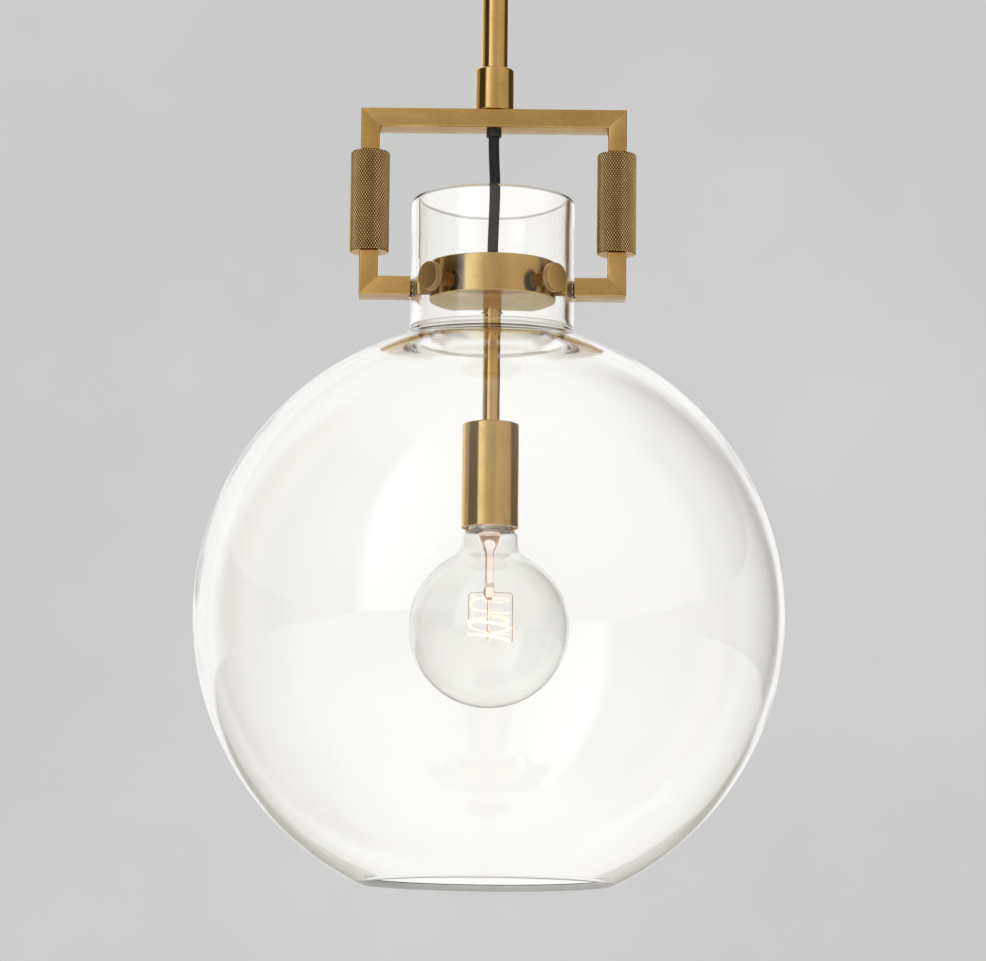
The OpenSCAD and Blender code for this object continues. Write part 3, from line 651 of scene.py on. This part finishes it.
def bars(name, pieces, material):
    """Bars with rounded edges that meet at fine mitre seams."""
    bm = bmesh.new()
    for corners, mitres in pieces:
        part = bmesh.new()
        marks = part.faces.layers.int.new("seam")
        seams = prism(part, corners, -BAR_DEPTH / 2, BAR_DEPTH / 2, mitres)
        seam_edges = {e for f in seams for e in f.edges}
        for f in seams:
            f[marks] = 1
        bevelled(part, [e for e in part.edges if e not in seam_edges], EDGE_R, 4)
        edges = [e for e in part.edges if any(f[marks] == 1 for f in e.link_faces)]
        bevelled(part, edges, SEAM_R, 2)
        bmesh.ops.recalc_face_normals(part, faces=part.faces)
        me = bpy.data.meshes.new("part")
        part.to_mesh(me)
        part.free()
        bm.from_mesh(me)
        bpy.data.meshes.remove(me)
    me = bpy.data.meshes.new(name)
    bm.to_mesh(me)
    bm.free()
    me.shade_smooth()
    me.set_sharp_from_angle(angle=math.radians(BAR_SHARP))
    ob = bpy.data.objects.new(name, me)
    bpy.context.scene.collection.objects.link(ob)
    me.materials.append(material)
    return ob


POST_LOW = YOKE_LOW.z
inner_x, inner_z = YOKE_HALF - BAR_W, YOKE_TOP - BAR_W
outer_left, inner_left = (-YOKE_HALF, YOKE_TOP), (-inner_x, inner_z)
outer_right, inner_right = (YOKE_HALF, YOKE_TOP), (inner_x, inner_z)
top_bar = [outer_left, inner_left, inner_right, outer_right]
left_post = [outer_left, (-YOKE_HALF, POST_LOW), (-inner_x, POST_LOW), inner_left]
right_post = [outer_right, inner_right, (inner_x, POST_LOW), (YOKE_HALF, POST_LOW)]
yoke = bars("yoke", [(top_bar, [0, 2]), (left_post, [3]), (right_post, [0])], flat_brass)
settle(yoke, "pendant", "aged_brass", "upper_yoke")

NECK_R = 49 * MM
NECK_IN_R = 44 * MM
ARM_END_R = NECK_R + 1 * MM
CAP_BORE_R, CAP_SEAT = 4.4 * MM, 5 * MM
# How far a cutter runs past the face that it cuts
PAST = 5 * MM


def rod_cutter(r, low, high, material, count, matrix=None):
    """Plain rod along z that cuts a hole of its own size."""
    outline = [(0, low, 0), (r, low, 0), (r, high, 0), (0, high, 0)]
    return turned("cutter", outline, material, count, matrix)


for side, label in ((-1, "left"), (1, "right")):
    low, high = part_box("lower_arm_" + label)
    bar_top = low.z + BAR_W - 0.2 * MM
    near, far, inside = side * (ARM_END_R - 2 * MM), side * YOKE_HALF, side * inner_x
    post = ([(far, low.z), (inside, bar_top), (inside, high.z), (far, high.z)], [0])
    foot = ([(far, low.z), (near, low.z), (near, bar_top), (inside, bar_top)], [3])
    along_arm = outwards(0 if side > 0 else 180, FIX_Z)
    halves = []
    # Each bar is cut on its own, because one cut through two touching bars can fail
    for piece in (post, foot):
        half = bars("arm_half", [piece], flat_brass)
        cut(half, [rod_cutter(ARM_END_R, low.z - PAST, bar_top + PAST, flat_brass, 256)])
        bore = (CAP_BORE_R, YOKE_HALF - CAP_SEAT, YOKE_HALF + PAST)
        cut(half, [rod_cutter(*bore, flat_brass, 64, along_arm)])
        halves.append(half)
    settle(joined("lower_arm_bar_" + label, halves), "pendant", "aged_brass", "lower_arm_" + label)


# ---- Knurled grips and thumbscrews ----
# A face is on a part's end where its normal is at least this near to the axis
END_FACING = 0.9


def knurled(
    name, radius, low, high, bore, depth, count, row, edge, material, matrix=None, centre=(0, 0)
):
    """Turned part with a diamond knurl on its rim, of count pyramids round and row high,
    between plain edges."""
    rows = max(2, round((high - low - 2 * edge) / row))
    width = 2 * count
    cx, cy = centre
    face_r = radius - edge * 0.9

    def level(z, r_at):
        turns = [TURN * i / width for i in range(width)]
        return [
            (cx + r_at(i) * math.cos(a), cy + r_at(i) * math.sin(a), z) for i, a in enumerate(turns)
        ]

    loops = [level(low, lambda i: bore), level(low, lambda i: face_r)]
    first = len(loops)
    for j in range(rows + 1):
        z = low + edge + (high - low - 2 * edge) * j / rows
        loops.append(level(z, lambda i, j=j: radius - (depth if (i + j) % 2 == 0 else 0)))
    loops += [level(high, lambda i: face_r), level(high, lambda i: bore)]
    ob = rings(name, loops, material, True, matrix, 20, (first, first + rows))
    axis = Vector((0, 0, 1)) if matrix is None else matrix.to_3x3() @ Vector((0, 0, 1))
    ob.data.materials.append(face_brass)
    for face in ob.data.polygons:
        if abs(face.normal.dot(axis)) > END_FACING:
            face.material_index = 1
    return ob


KNURL_DEPTH = 0.6 * MM
STUD_BORE = 4.05 * MM
for label in ("left", "right"):
    low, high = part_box("grip_" + label)
    centre = ((low.x + high.x) / 2, 0)
    radius = (high.x - low.x) / 2
    finish = knurled_material(
        "knurled_brass_" + label, (centre[0], 0, 0), (0, 0, 0), radius, KNURL_DEPTH
    )
    ob = knurled(
        "knurled_grip_" + label,
        radius,
        low.z,
        high.z,
        STUD_BORE,
        KNURL_DEPTH,
        count=42,
        row=1.3 * MM,
        edge=0.7 * MM,
        material=finish,
        centre=centre,
    )
    settle(ob, "grip_" + label, "knurled_brass", "grip_" + label)

WASHER_IN = NECK_R + 0.2 * MM
WASHER_T = 0.85 * MM
HEAD_IN = WASHER_IN + WASHER_T + 0.1 * MM
HEAD_T, HEAD_R, THREAD_R = 4 * MM, 8.8 * MM, 2.5 * MM
HEAD_OUT = HEAD_IN + HEAD_T
# The head's knurl, and the smooth face set into its end, which stands out from it by FACE_STEP
HEAD_KNURL, FACE_R, FACE_STEP, FACE_T = 0.4 * MM, HEAD_R - 0.75 * MM, 0.3 * MM, 1.5 * MM
THREAD_IN = 27.5 * MM
THREAD_PITCH, THREAD_DEPTH = 0.8 * MM, 0.35 * MM
SLEEVE_R, SLEEVE_IN, WASHER_R = 3.4 * MM, NECK_IN_R + 1 * MM, 7 * MM
# Share of a turn over which a thread fades in at each end, and the radius of a solid rod's middle
THREAD_FADE, NO_BORE = 0.6, 1e-9


def threaded(
    name, low, high, r, depth, pitch, material, matrix=None, bore=0.0, count=48, rows_per_turn=8
):
    """Rod or tube along z with a helical thread."""
    rows = int((high - low) / pitch * rows_per_turn)
    loops = [circle(bore or NO_BORE, low, count), circle(r - depth, low, count)]
    for j in range(rows + 1):
        z = low + (high - low) * j / rows
        fade = min(
            1.0, j / rows_per_turn / THREAD_FADE, (rows - j) / rows_per_turn / THREAD_FADE
        )
        loop = []
        for i in range(count):
            a = i / count
            wave = 0.5 + 0.5 * math.cos(TURN * ((z - low) / pitch - a))
            rr = r - depth + depth * wave * fade
            loop.append((rr * math.cos(TURN * a), rr * math.sin(TURN * a), z))
        loops.append(loop)
    loops.append(circle(r - depth, high, count))
    loops.append(circle(bore or NO_BORE, high, count))
    return rings(name, loops, material, closed=bool(bore), matrix=matrix, sharp=45)


for corner, angle in CORNERS.items():
    m = outwards(angle, FIX_Z)
    screw = "thumbscrew_" + corner
    finish = knurled_material(
        "thumbscrew_brass_" + corner, (0, 0, FIX_Z), tuple(m.to_euler()), HEAD_R, HEAD_KNURL
    )
    head = knurled(
        "thumbscrew_head_" + corner,
        HEAD_R,
        HEAD_IN,
        HEAD_OUT - FACE_STEP,
        THREAD_R,
        HEAD_KNURL,
        count=38,
        row=0.72 * MM,
        edge=0.4 * MM,
        material=finish,
        matrix=m,
    )
    settle(head, screw, "knurled_brass", screw)
    face = turned(
        "thumbscrew_face_" + corner,
        [
            (0, HEAD_OUT - FACE_T, 0),
            (FACE_R, HEAD_OUT - FACE_T, 0),
            (FACE_R, HEAD_OUT, 0.35 * MM),
            (0, HEAD_OUT, 0),
        ],
        face_brass,
        96,
        m,
    )
    settle(face, screw, "aged_brass")
    shank = threaded(
        "thumbscrew_thread_" + corner,
        THREAD_IN,
        HEAD_IN + 1 * MM,
        THREAD_R,
        THREAD_DEPTH,
        THREAD_PITCH,
        dark_brass,
        m,
    )
    settle(shank, screw, "aged_brass")
    washer = turned(
        "thumb_pad_" + corner,
        [
            (THREAD_R + FIT, SLEEVE_IN, 0),
            (SLEEVE_R, SLEEVE_IN, 0.2 * MM),
            (SLEEVE_R, WASHER_IN, 0),
            (WASHER_R, WASHER_IN, 0.2 * MM),
            (WASHER_R, WASHER_IN + WASHER_T, 0.25 * MM),
            (THREAD_R + FIT, WASHER_IN + WASHER_T, 0),
        ],
        black_rubber,
        64,
        m,
    )
    settle(washer, "thumb_washer_" + corner, "black_rubber", "thumb_washer_" + corner)

# ---- Support disc, cover and grommet ----
COVER_R, COVER_LOW, _ = span("disc_cover")
COVER_SEAT = COVER_LOW - 0.1 * MM
DISC_BORE, COVER_BORE = 4.85 * MM, 5.05 * MM
CAVITY_R, CAVITY_LOW = 24 * MM, DISC_LOW + 6.3 * MM
settle(
    turned(
        "support_disc",
        [
            (DISC_BORE, DISC_LOW, 0),
            (DISC_R, DISC_LOW, 0.8 * MM),
            (DISC_R, DISC_TOP, 0.8 * MM),
            (COVER_R + FIT, DISC_TOP, 0.15 * MM),
            (COVER_R + FIT, COVER_SEAT, 0),
            (CAVITY_R, COVER_SEAT, 0),
            (CAVITY_R, CAVITY_LOW, 0),
            (DISC_BORE, CAVITY_LOW, 0),
        ],
        turned_brass,
        160,
    ),
    "pendant",
    "aged_brass",
    "disc_body",
)
settle(
    turned(
        "disc_lid",
        ring_outline(COVER_BORE, COVER_R, COVER_LOW, DISC_TOP - 0.02 * MM, 0.25 * MM),
        turned_brass,
        128,
    ),
    "pendant",
    "aged_brass",
    "disc_cover",
)
GROMMET_HIGH = span("disc_grommet")[2]
GROMMET_R, GROMMET_FLANGE_R = 5 * MM, 7 * MM
settle(
    turned(
        "grommet",
        [
            (CORD_R + FIT, COVER_LOW, 0),
            (GROMMET_R, COVER_LOW, 0),
            (GROMMET_R, DISC_TOP, 0),
            (GROMMET_FLANGE_R, DISC_TOP, 0.2 * MM),
            (6.1 * MM, GROMMET_HIGH, 0.5 * MM),
            (CORD_R + FIT, GROMMET_HIGH, 0.4 * MM),
        ],
        black_rubber,
        64,
    ),
    "pendant",
    "black_rubber",
    "disc_grommet",
)

# ---- Drop rod, coupling and lamp cup ----
_, COUPLING_LOW, COUPLING_HIGH = span("drop_coupling")
COUPLING_R, COUPLING_SPIGOT_R = 5.6 * MM, 4.8 * MM
ROD_BORE, ROD_SPIGOT_R, LOCK_BORE = 3.3 * MM, 4.6 * MM, 4.65 * MM
settle(
    turned(
        "coupling",
        [
            (ROD_BORE, COUPLING_LOW, 0),
            (COUPLING_R, COUPLING_LOW, 0.45 * MM),
            (COUPLING_R, DISC_LOW, 0.2 * MM),
            (COUPLING_SPIGOT_R, DISC_LOW, 0),
            (COUPLING_SPIGOT_R, COUPLING_HIGH, 0.3 * MM),
            (ROD_BORE, COUPLING_HIGH, 0),
        ],
        turned_brass,
    ),
    "pendant",
    "aged_brass",
    "drop_coupling",
)
LOCK_R, LOCK_LOW, LOCK_HIGH = span("lock_ring")
lock_outline = ring_outline(LOCK_BORE, LOCK_R, LOCK_LOW, LOCK_HIGH, 0.9 * MM)
settle(
    turned("lock_collar", lock_outline, turned_brass),
    "pendant",
    "aged_brass",
    "lock_ring",
)
ROD_R, ROD_LOW, ROD_HIGH = span("drop_rod")
settle(
    turned(
        "rod",
        [
            (ROD_BORE, ROD_LOW, 0),
            (ROD_R, ROD_LOW, 0.3 * MM),
            (ROD_R, LOCK_LOW, 0.3 * MM),
            (ROD_SPIGOT_R, LOCK_LOW, 0),
            (ROD_SPIGOT_R, ROD_HIGH, 0.2 * MM),
            (ROD_BORE, ROD_HIGH, 0),
        ],
        turned_brass,
    ),
    "pendant",
    "aged_brass",
    "drop_rod",
)
CUP_R, CUP_LOW, CUP_HIGH = span("socket_cup")
# Thickness of the spun brass of the cup and the canopy
SHEET = 1.2 * MM
CUP_IN, CUP_FLOOR = CUP_R - SHEET, CUP_HIGH - 2 * MM
settle(
    turned(
        "lamp_cup",
        [
            (ROD_R + FIT, CUP_HIGH, 0),
            (CUP_R, CUP_HIGH, 1.2 * MM),
            (CUP_R, CUP_LOW, 0.35 * MM),
            (CUP_IN, CUP_LOW, 0.35 * MM),
            (CUP_IN, CUP_FLOOR, 0.8 * MM),
            (ROD_R + FIT, CUP_FLOOR, 0),
        ],
        turned_brass,
        128,
    ),
    "pendant",
    "aged_brass",
    "socket_cup",
)

# ---- Glass shade: neck, blown shoulder and globe with a polished mouth ----
GLOBE_WALL = 4.5 * MM
MOUTH_R = 73.5 * MM
GLOBE_Z = MOUTH_Z + math.sqrt(GLOBE_R**2 - MOUTH_R**2)
# Radius of the shoulder between neck and globe, outside and inside the glass
SHOULDER_R, SHOULDER_IN_R = 11 * MM, 4 * MM
NECK_EDGE, RIM_EDGE = 2.3 * MM, 1.9 * MM
GLOBE_ROWS, SHOULDER_ROWS = 120, 14


def globe_side(globe_r, neck_r, blend):
    """Outline from the neck's rim down, round the shoulder and down the globe to its mouth."""
    rise = math.sqrt((globe_r + blend) ** 2 - (neck_r + blend) ** 2)
    centre = Vector((neck_r + blend, GLOBE_Z + rise))
    to_globe = Vector((0, GLOBE_Z)) - centre
    stop = math.atan2(to_globe.y, to_globe.x) + TURN
    points = [(neck_r, RIM_Z), (neck_r, RIM_Z - 20 * MM), (neck_r, RIM_Z - 45 * MM)]
    for k in range(SHOULDER_ROWS + 1):
        a = math.pi + (stop - math.pi) * k / SHOULDER_ROWS
        points.append((centre.x + blend * math.cos(a), centre.y + blend * math.sin(a)))
    start = math.atan2(points[-1][1] - GLOBE_Z, points[-1][0])
    end = -math.acos(MOUTH_R / GLOBE_R)
    for k in range(1, GLOBE_ROWS + 1):
        a = start + (end - start) * k / GLOBE_ROWS
        points.append((globe_r * math.cos(a), GLOBE_Z + globe_r * math.sin(a)))
    return points


outer = globe_side(GLOBE_R, NECK_R, SHOULDER_R)
inner = globe_side(GLOBE_R - GLOBE_WALL, NECK_IN_R, SHOULDER_IN_R)
shade_outline = [
    (*outer[0], NECK_EDGE),
    *[(r, z, 0) for r, z in outer[1:-1]],
    (*outer[-1], RIM_EDGE),
    (*inner[-1], RIM_EDGE),
    *[(r, z, 0) for r, z in reversed(inner[1:-1])],
    (*inner[0], NECK_EDGE),
]
shade = turned("glass_globe", shade_outline, clear_glass, 192, steps=8, sharp=40)
# Holes through the neck for the two arm screws and the thumbscrews
HOLE_R, HOLE_IN, HOLE_OUT = 3.7 * MM, 38 * MM, 56 * MM
hole_angles = [0, 180, *CORNERS.values()]
hole = (HOLE_R, HOLE_IN, HOLE_OUT, clear_glass, 48)
cut(shade, [rod_cutter(*hole, outwards(a, FIX_Z)) for a in hole_angles])
settle(shade, "pendant", "clear_glass", "glass_shade")

# The mouth's cut edge is made paler, as painted light: clear glass there would trap the light and
# look black
rim_glass = plain(
    "rim_glass", (0.86, 0.87, 0.87), (0.94, 0.95, 0.95), 0.08, grain=70, Transmission_Weight=0.55
)
shade.data.materials.append(rim_glass)
RIM_HIGH = MOUTH_Z + GLOBE_WALL
# A face near the mouth is on the globe's wall where it faces in or out by at least this much
WALL_FACING = 0.9
# The faces of the mouth's edge take the pale rim glass: painted light
for face in shade.data.polygons:
    outward = (face.center - Vector((0, 0, GLOBE_Z))).normalized()
    if face.center.z < RIM_HIGH and abs(face.normal.dot(outward)) < WALL_FACING:
        face.material_index = 1

# ---- Bulb ----
bulb_low, bulb_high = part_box("bulb_envelope")
BULB_R = (bulb_high.x - bulb_low.x) / 2
BULB_Z = bulb_low.z + BULB_R
BULB_TOP = bulb_high.z
BULB_NECK, BULB_BLEND, BULB_SHOULDER, BULB_WALL = 16.8 * MM, 12 * MM, 4 * MM, 0.9 * MM
# The hole in the neck's top, under the cap
BULB_OPEN_R = 8 * MM
CROWN_ROWS, BLEND_ROWS = 64, 14


def bulb_side(inset):
    """Outline of the bulb from its crown up to its neck's top, set in from its outer face."""
    r, neck, blend = BULB_R - inset, BULB_NECK - inset, BULB_BLEND + inset
    rise = math.sqrt((r + blend) ** 2 - (neck + blend) ** 2)
    shoulder = BULB_SHOULDER - inset
    top = BULB_TOP - BULB_Z - inset
    points = []
    end = math.atan2(rise, neck + blend)
    for k in range(CROWN_ROWS + 1):
        a = -math.pi / 2 + (end + math.pi / 2) * k / CROWN_ROWS
        points.append((r * math.cos(a), r * math.sin(a)))
    for k in range(1, BLEND_ROWS + 1):
        a = math.pi + end - end * k / BLEND_ROWS
        points.append((neck + blend + blend * math.cos(a), rise + blend * math.sin(a)))
    for k in range(BLEND_ROWS + 1):
        a = math.pi / 2 * k / BLEND_ROWS
        across, up = shoulder * math.cos(a), shoulder * math.sin(a)
        points.append((neck - shoulder + across, top - shoulder + up))
    points.append((BULB_OPEN_R, top))
    return [(max(x, 0), y + BULB_Z) for x, y in points]


bulb_outline = [(r, z, 0) for r, z in [*bulb_side(0), *reversed(bulb_side(BULB_WALL))]]
bulb_globe = turned("bulb_globe", bulb_outline, bulb_glass, 128, sharp=50)
settle(bulb_globe, "bulb", "bulb_glass", "bulb_envelope")

BASE_R, BASE_LOW, BASE_HIGH = span("bulb_base")
# Seven turns to the inch, as on every E26 lamp
BASE_PITCH, BASE_DEPTH = 25.4 / 7 * MM, 1.0 * MM
base = threaded(
    "bulb_cap",
    BASE_LOW,
    BASE_HIGH,
    BASE_R,
    BASE_DEPTH,
    BASE_PITCH,
    cap_metal,
    bore=BASE_R - 2.2 * MM,
    count=96,
    rows_per_turn=14,
)
settle(base, "bulb", "cap_metal", "bulb_base")
_, TIP_LOW, TIP_HIGH = span("bulb_contact")
SOLDER_R, SOLDER_TOP_R = 4.6 * MM, 3.8 * MM
INSULATOR_HIGH, SOLDER_LOW = TIP_HIGH - 1.2 * MM, TIP_HIGH - 1.25 * MM
settle(
    turned(
        "bulb_insulator",
        [
            (0, TIP_LOW, 0),
            (BASE_R - 0.6 * MM, TIP_LOW, 0.4 * MM),
            (10 * MM, TIP_LOW + 0.8 * MM, 0.6 * MM),
            (SOLDER_R, INSULATOR_HIGH, 0.3 * MM),
            (0, INSULATOR_HIGH, 0),
        ],
        black_glass,
        64,
    ),
    "bulb_tip",
    "black_plastic",
    "bulb_contact",
)
settle(
    turned(
        "bulb_tip_contact",
        [
            (0, SOLDER_LOW, 0),
            (SOLDER_R, SOLDER_LOW, 0.2 * MM),
            (SOLDER_TOP_R, TIP_HIGH, 0.5 * MM),
            (0, TIP_HIGH, 0),
        ],
        cap_metal,
        64,
    ),
    "bulb_tip",
    "cap_metal",
)

# Filament: a falling spiral in half turns, round the thin end of a glass mount
FIL_TOP = BULB_Z + 4 * MM
FIL_R = 12 * MM
HALF_DROP, HALF_TURNS = 4 * MM, 3
FIL_END = FIL_TOP - HALF_TURNS * HALF_DROP
# The flattened part of the mount that holds the wires, and the mount's radii from there up
PRESS_Z = FIL_TOP + 17 * MM
MOUNT_ROD_R, PRESS_R, MOUNT_R, FLARE_R = 1.2 * MM, 3.6 * MM, 2.5 * MM, 7.2 * MM
mount_top = BULB_TOP - BULB_WALL - 0.1 * MM
settle(
    turned(
        "bulb_stem",
        [
            (0, FIL_END, 0),
            (MOUNT_ROD_R, FIL_END, 0.8 * MM),
            (MOUNT_ROD_R, PRESS_Z - 4 * MM, 1.5 * MM),
            (PRESS_R, PRESS_Z - 1 * MM, 2.2 * MM),
            (3.2 * MM, PRESS_Z + 3 * MM, 2.4 * MM),
            (MOUNT_R, PRESS_Z + 6 * MM, 2 * MM),
            (MOUNT_R, mount_top - 14 * MM, 8 * MM),
            (FLARE_R, mount_top, 0.3 * MM),
            (0, mount_top, 0),
        ],
        mount_glass,
        64,
        sharp=60,
    ),
    "bulb",
    "bulb_glass",
    "bulb_mount",
)
# The left lead holds the filament's top end, the right lead its lower end
LEAD_LOW = {-1: FIL_TOP, 1: FIL_END}
LEAD_X = {-1: FIL_R, 1: FIL_R + 2 * MM}
WIRE_R = 0.28 * MM
wire_paths = []
for side in (-1, 1):
    x = LEAD_X[side]
    path = [
        (side * 1.5 * MM, 0, PRESS_Z + 0.4 * MM),
        (side * 6 * MM, 0, PRESS_Z + 0.2 * MM),
        (side * (x - 1.6 * MM), 0, PRESS_Z),
        (side * (x - 0.4 * MM), 0, PRESS_Z - 0.5 * MM),
        (side * x, 0, PRESS_Z - 2 * MM),
        (side * x, 0, LEAD_LOW[side] + 1 * MM),
        (side * (x - 0.2 * MM), 0, LEAD_LOW[side] + 0.2 * MM),
    ]
    if side > 0:
        path.append((FIL_R, 0, LEAD_LOW[side]))
    wire_paths.append(path)
for i in range(HALF_TURNS):
    z = FIL_TOP - (i + 0.5) * HALF_DROP
    front = -1 if i % 2 == 0 else 1
    support = (0.9 * MM, FIL_R / 2, FIL_R - 0.1 * MM)
    wire_paths.append([(0, front * y, z) for y in support])
wires = [tube("wire", path, WIRE_R, steel) for path in wire_paths]
settle(joined("bulb_wires", wires), "bulb", "plated_steel", "bulb_supports")

COILS_PER_HALF, STEPS_PER_COIL = 44, 8
COIL_R, COIL_WIRE = 0.45 * MM, 0.24 * MM
coil = []
for k in range(HALF_TURNS * COILS_PER_HALF * STEPS_PER_COIL + 1):
    share = k / (COILS_PER_HALF * STEPS_PER_COIL)
    around = math.pi * (1 + share)
    wind = TURN * k / STEPS_PER_COIL
    r = FIL_R + COIL_R * math.cos(wind)
    z = FIL_TOP - share * HALF_DROP + COIL_R * math.sin(wind)
    coil.append((r * math.cos(around), r * math.sin(around), z))
settle(tube("filament_coil", coil, COIL_WIRE, tungsten, 6), "bulb", "tungsten", "bulb_filament")

# ---- Canopy and its ring ----
CANOPY_R, CANOPY_LOW, _ = span("canopy")
CANOPY_BORE, NIPPLE_BORE, RING_KNURL = 5.65 * MM, 5.2 * MM, 0.35 * MM
settle(
    turned(
        "canopy_cup",
        [
            (CANOPY_R, 0, 0.3 * MM),
            (CANOPY_R - SHEET, 0, 0.3 * MM),
            (CANOPY_R - SHEET, CANOPY_LOW + SHEET, 4.8 * MM),
            (CANOPY_BORE, CANOPY_LOW + SHEET, 0),
            (CANOPY_BORE, CANOPY_LOW, 0.2 * MM),
            (CANOPY_R, CANOPY_LOW, 6 * MM),
        ],
        turned_brass,
        160,
        steps=10,
    ),
    "canopy",
    "aged_brass",
    "canopy",
)
RING_R, RING_LOW, RING_HIGH = span("canopy_ring")
ring_finish = knurled_material("knurled_brass_ring", (0, 0, 0), (0, 0, 0), RING_R, RING_KNURL)
settle(
    knurled(
        "canopy_nut",
        RING_R,
        RING_LOW,
        RING_HIGH,
        NIPPLE_BORE,
        RING_KNURL,
        count=58,
        row=0.75 * MM,
        edge=0.8 * MM,
        material=ring_finish,
    ),
    "canopy_ring",
    "aged_brass",
    "canopy_ring",
)

# ---- CAD nodes that stay, with their finishes ----
KEPT = {
    steel: [
        "crossbar",
        "nipple_locknut",
        "coupling_nut",
        "rod_nut",
        "lampholder_cap",
        "terminal_screws",
    ],
    dark_brass: [
        "ceiling_nipple",
        "swivel_pins",
        "collar_screw_tube",
        "grip_stud_left",
        "grip_stud_right",
        "arm_screws",
        "cover_screws",
        "centre_contact",
        "shade_spacers",
    ],
    green_metal: ["ground_screw"],
    black_fabric: ["ceiling_lead", "stem_lead"],
    turned_brass: ["swivel_fork", "stem_knuckle"],
    black_rubber: ["arm_gaskets"],
    insulation: ["cord_clamp", "rod_leads"],
    porcelain: ["lampholder_body"],
    cap_metal: ["screw_shell"],
}
for material, nodes in KEPT.items():
    for node in nodes:
        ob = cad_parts[node]
        ob.data.materials.clear()
        ob.data.materials.append(material)

# ---- Studio ----
FLOOR_Z = -2.0
FLOOR_HALF = 20


def studio_floor():
    """Plain pale floor, which isn't part of the object."""
    material, tree, shader = new_material("floor")
    fac = noise_of(tree, place_of(tree), 1.3, detail=3)
    tone = ramp_of(tree, fac, [(0.3, (0.76, 0.76, 0.755)), (0.7, (0.8, 0.8, 0.795))])
    tree.links.new(tone, shader.inputs["Base Color"])
    shader.inputs["Roughness"].default_value = 0.85
    corners = [(-1, -1), (1, -1), (1, 1), (-1, 1)]
    verts = [(x * FLOOR_HALF, y * FLOOR_HALF, FLOOR_Z) for x, y in corners]
    make("studio_floor", verts, [(0, 1, 2, 3)], material)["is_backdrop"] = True


studio_floor()


def studio_world():
    """Soft room: a plain grey backdrop, and for reflections and glass a white rear wall, a long
    window of light to the front left, dark sides and a mid-tone front right."""
    world = bpy.data.worlds.new("studio")
    bpy.context.scene.world = world
    world.use_nodes = True
    tree = world.node_tree
    back = tree.nodes["Background"]
    coord = tree.nodes.new("ShaderNodeTexCoord")
    part = tree.nodes.new("ShaderNodeSeparateXYZ")
    tree.links.new(coord.outputs["Generated"], part.inputs["Vector"])
    flip = tree.nodes.new("ShaderNodeMath")
    flip.operation = "MULTIPLY"
    flip.inputs[1].default_value = -1
    tree.links.new(part.outputs["Y"], flip.inputs[0])
    angle = tree.nodes.new("ShaderNodeMath")
    angle.operation = "ARCTAN2"
    tree.links.new(part.outputs["X"], angle.inputs[0])
    tree.links.new(flip.outputs[0], angle.inputs[1])
    share = span_of(tree, angle.outputs[0], 0, 1, (-math.pi, math.pi))

    def at(degrees):
        return 0.5 + degrees / 360

    white, edge, dark = (1.03, 1.015, 1.0), (0.52, 0.45, 0.34), (0.07, 0.045, 0.025)
    # Round the horizon in degrees: 0 is the front, -90 the left and 90 the right
    bands = ramp_of(
        tree,
        share,
        [
            (at(-180), white),
            (at(-130), white),
            (at(-120), edge),
            (at(-104), edge),
            (at(-94), dark),
            (at(-54), dark),
            (at(-47), (1.5, 1.55, 1.7)),
            (at(-33), (1.25, 1.25, 1.2)),
            (at(-14), (0.68, 0.62, 0.5)),
            (at(12), (0.54, 0.48, 0.38)),
            (at(30), (0.68, 0.61, 0.5)),
            (at(84), (0.56, 0.5, 0.4)),
            (at(98), dark),
            (at(146), (0.12, 0.085, 0.055)),
            (at(158), white),
            (at(180), white),
        ],
    )
    up = ramp_of(
        tree,
        span_of(tree, part.outputs["Z"], 0, 1, (-1, 1)),
        [(0.0, (0, 0, 0)), (0.86, (0, 0, 0)), (0.97, (1, 1, 1))],
    )
    room = mix_of(tree, up, bands, (0.8, 0.78, 0.72))
    plainly = noise_of(tree, coord.outputs["Generated"], 5, detail=5, rough=0.6)
    grey = ramp_of(tree, plainly, [(0.3, (0.56, 0.56, 0.555)), (0.7, (0.64, 0.64, 0.64))])
    path = tree.nodes.new("ShaderNodeLightPath")
    tree.links.new(mix_of(tree, path.outputs["Is Camera Ray"], room, grey), back.inputs["Color"])


studio_world()


def softbox(name, place, target, size, power, colour):
    """Area light that shines on the object and shows in no reflection."""
    data = bpy.data.lights.new(name, "AREA")
    data.shape = "RECTANGLE"
    data.size, data.size_y = size
    data.energy = power
    data.color = colour
    ob = bpy.data.objects.new(name, data)
    ob.location = place
    ob.rotation_euler = (Vector(target) - Vector(place)).to_track_quat("-Z", "Y").to_euler()
    ob.visible_glossy = False
    ob.visible_transmission = False
    ob.visible_camera = False
    bpy.context.scene.collection.objects.link(ob)


softbox("key", (-1.6, -2.2, 1.2), (0, 0, -0.5), (1.4, 1.8), 60, (1.0, 0.97, 0.93))
softbox("fill", (2.2, -1.8, 0.6), (0, 0, -0.5), (1.6, 1.6), 22, (0.97, 0.98, 1.0))
softbox("overhead", (0, 0.2, 2.6), (0, 0, -2), (4.5, 4.5), 75, (1.0, 1.0, 1.0))
# Stands in for the filament's light
glow = bpy.data.lights.new("filament_light", "POINT")
glow.energy = 1.2
glow.color = (1.0, 0.55, 0.22)
glow.shadow_soft_size = 0.012
glow_object = bpy.data.objects.new("filament_light", glow)
glow_object.location = (0, 0, (FIL_TOP + FIL_END) / 2)
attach(glow_object, "bulb")
bpy.context.scene.collection.objects.link(glow_object)
bpy.context.scene.view_settings.view_transform = "Standard"

low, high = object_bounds()
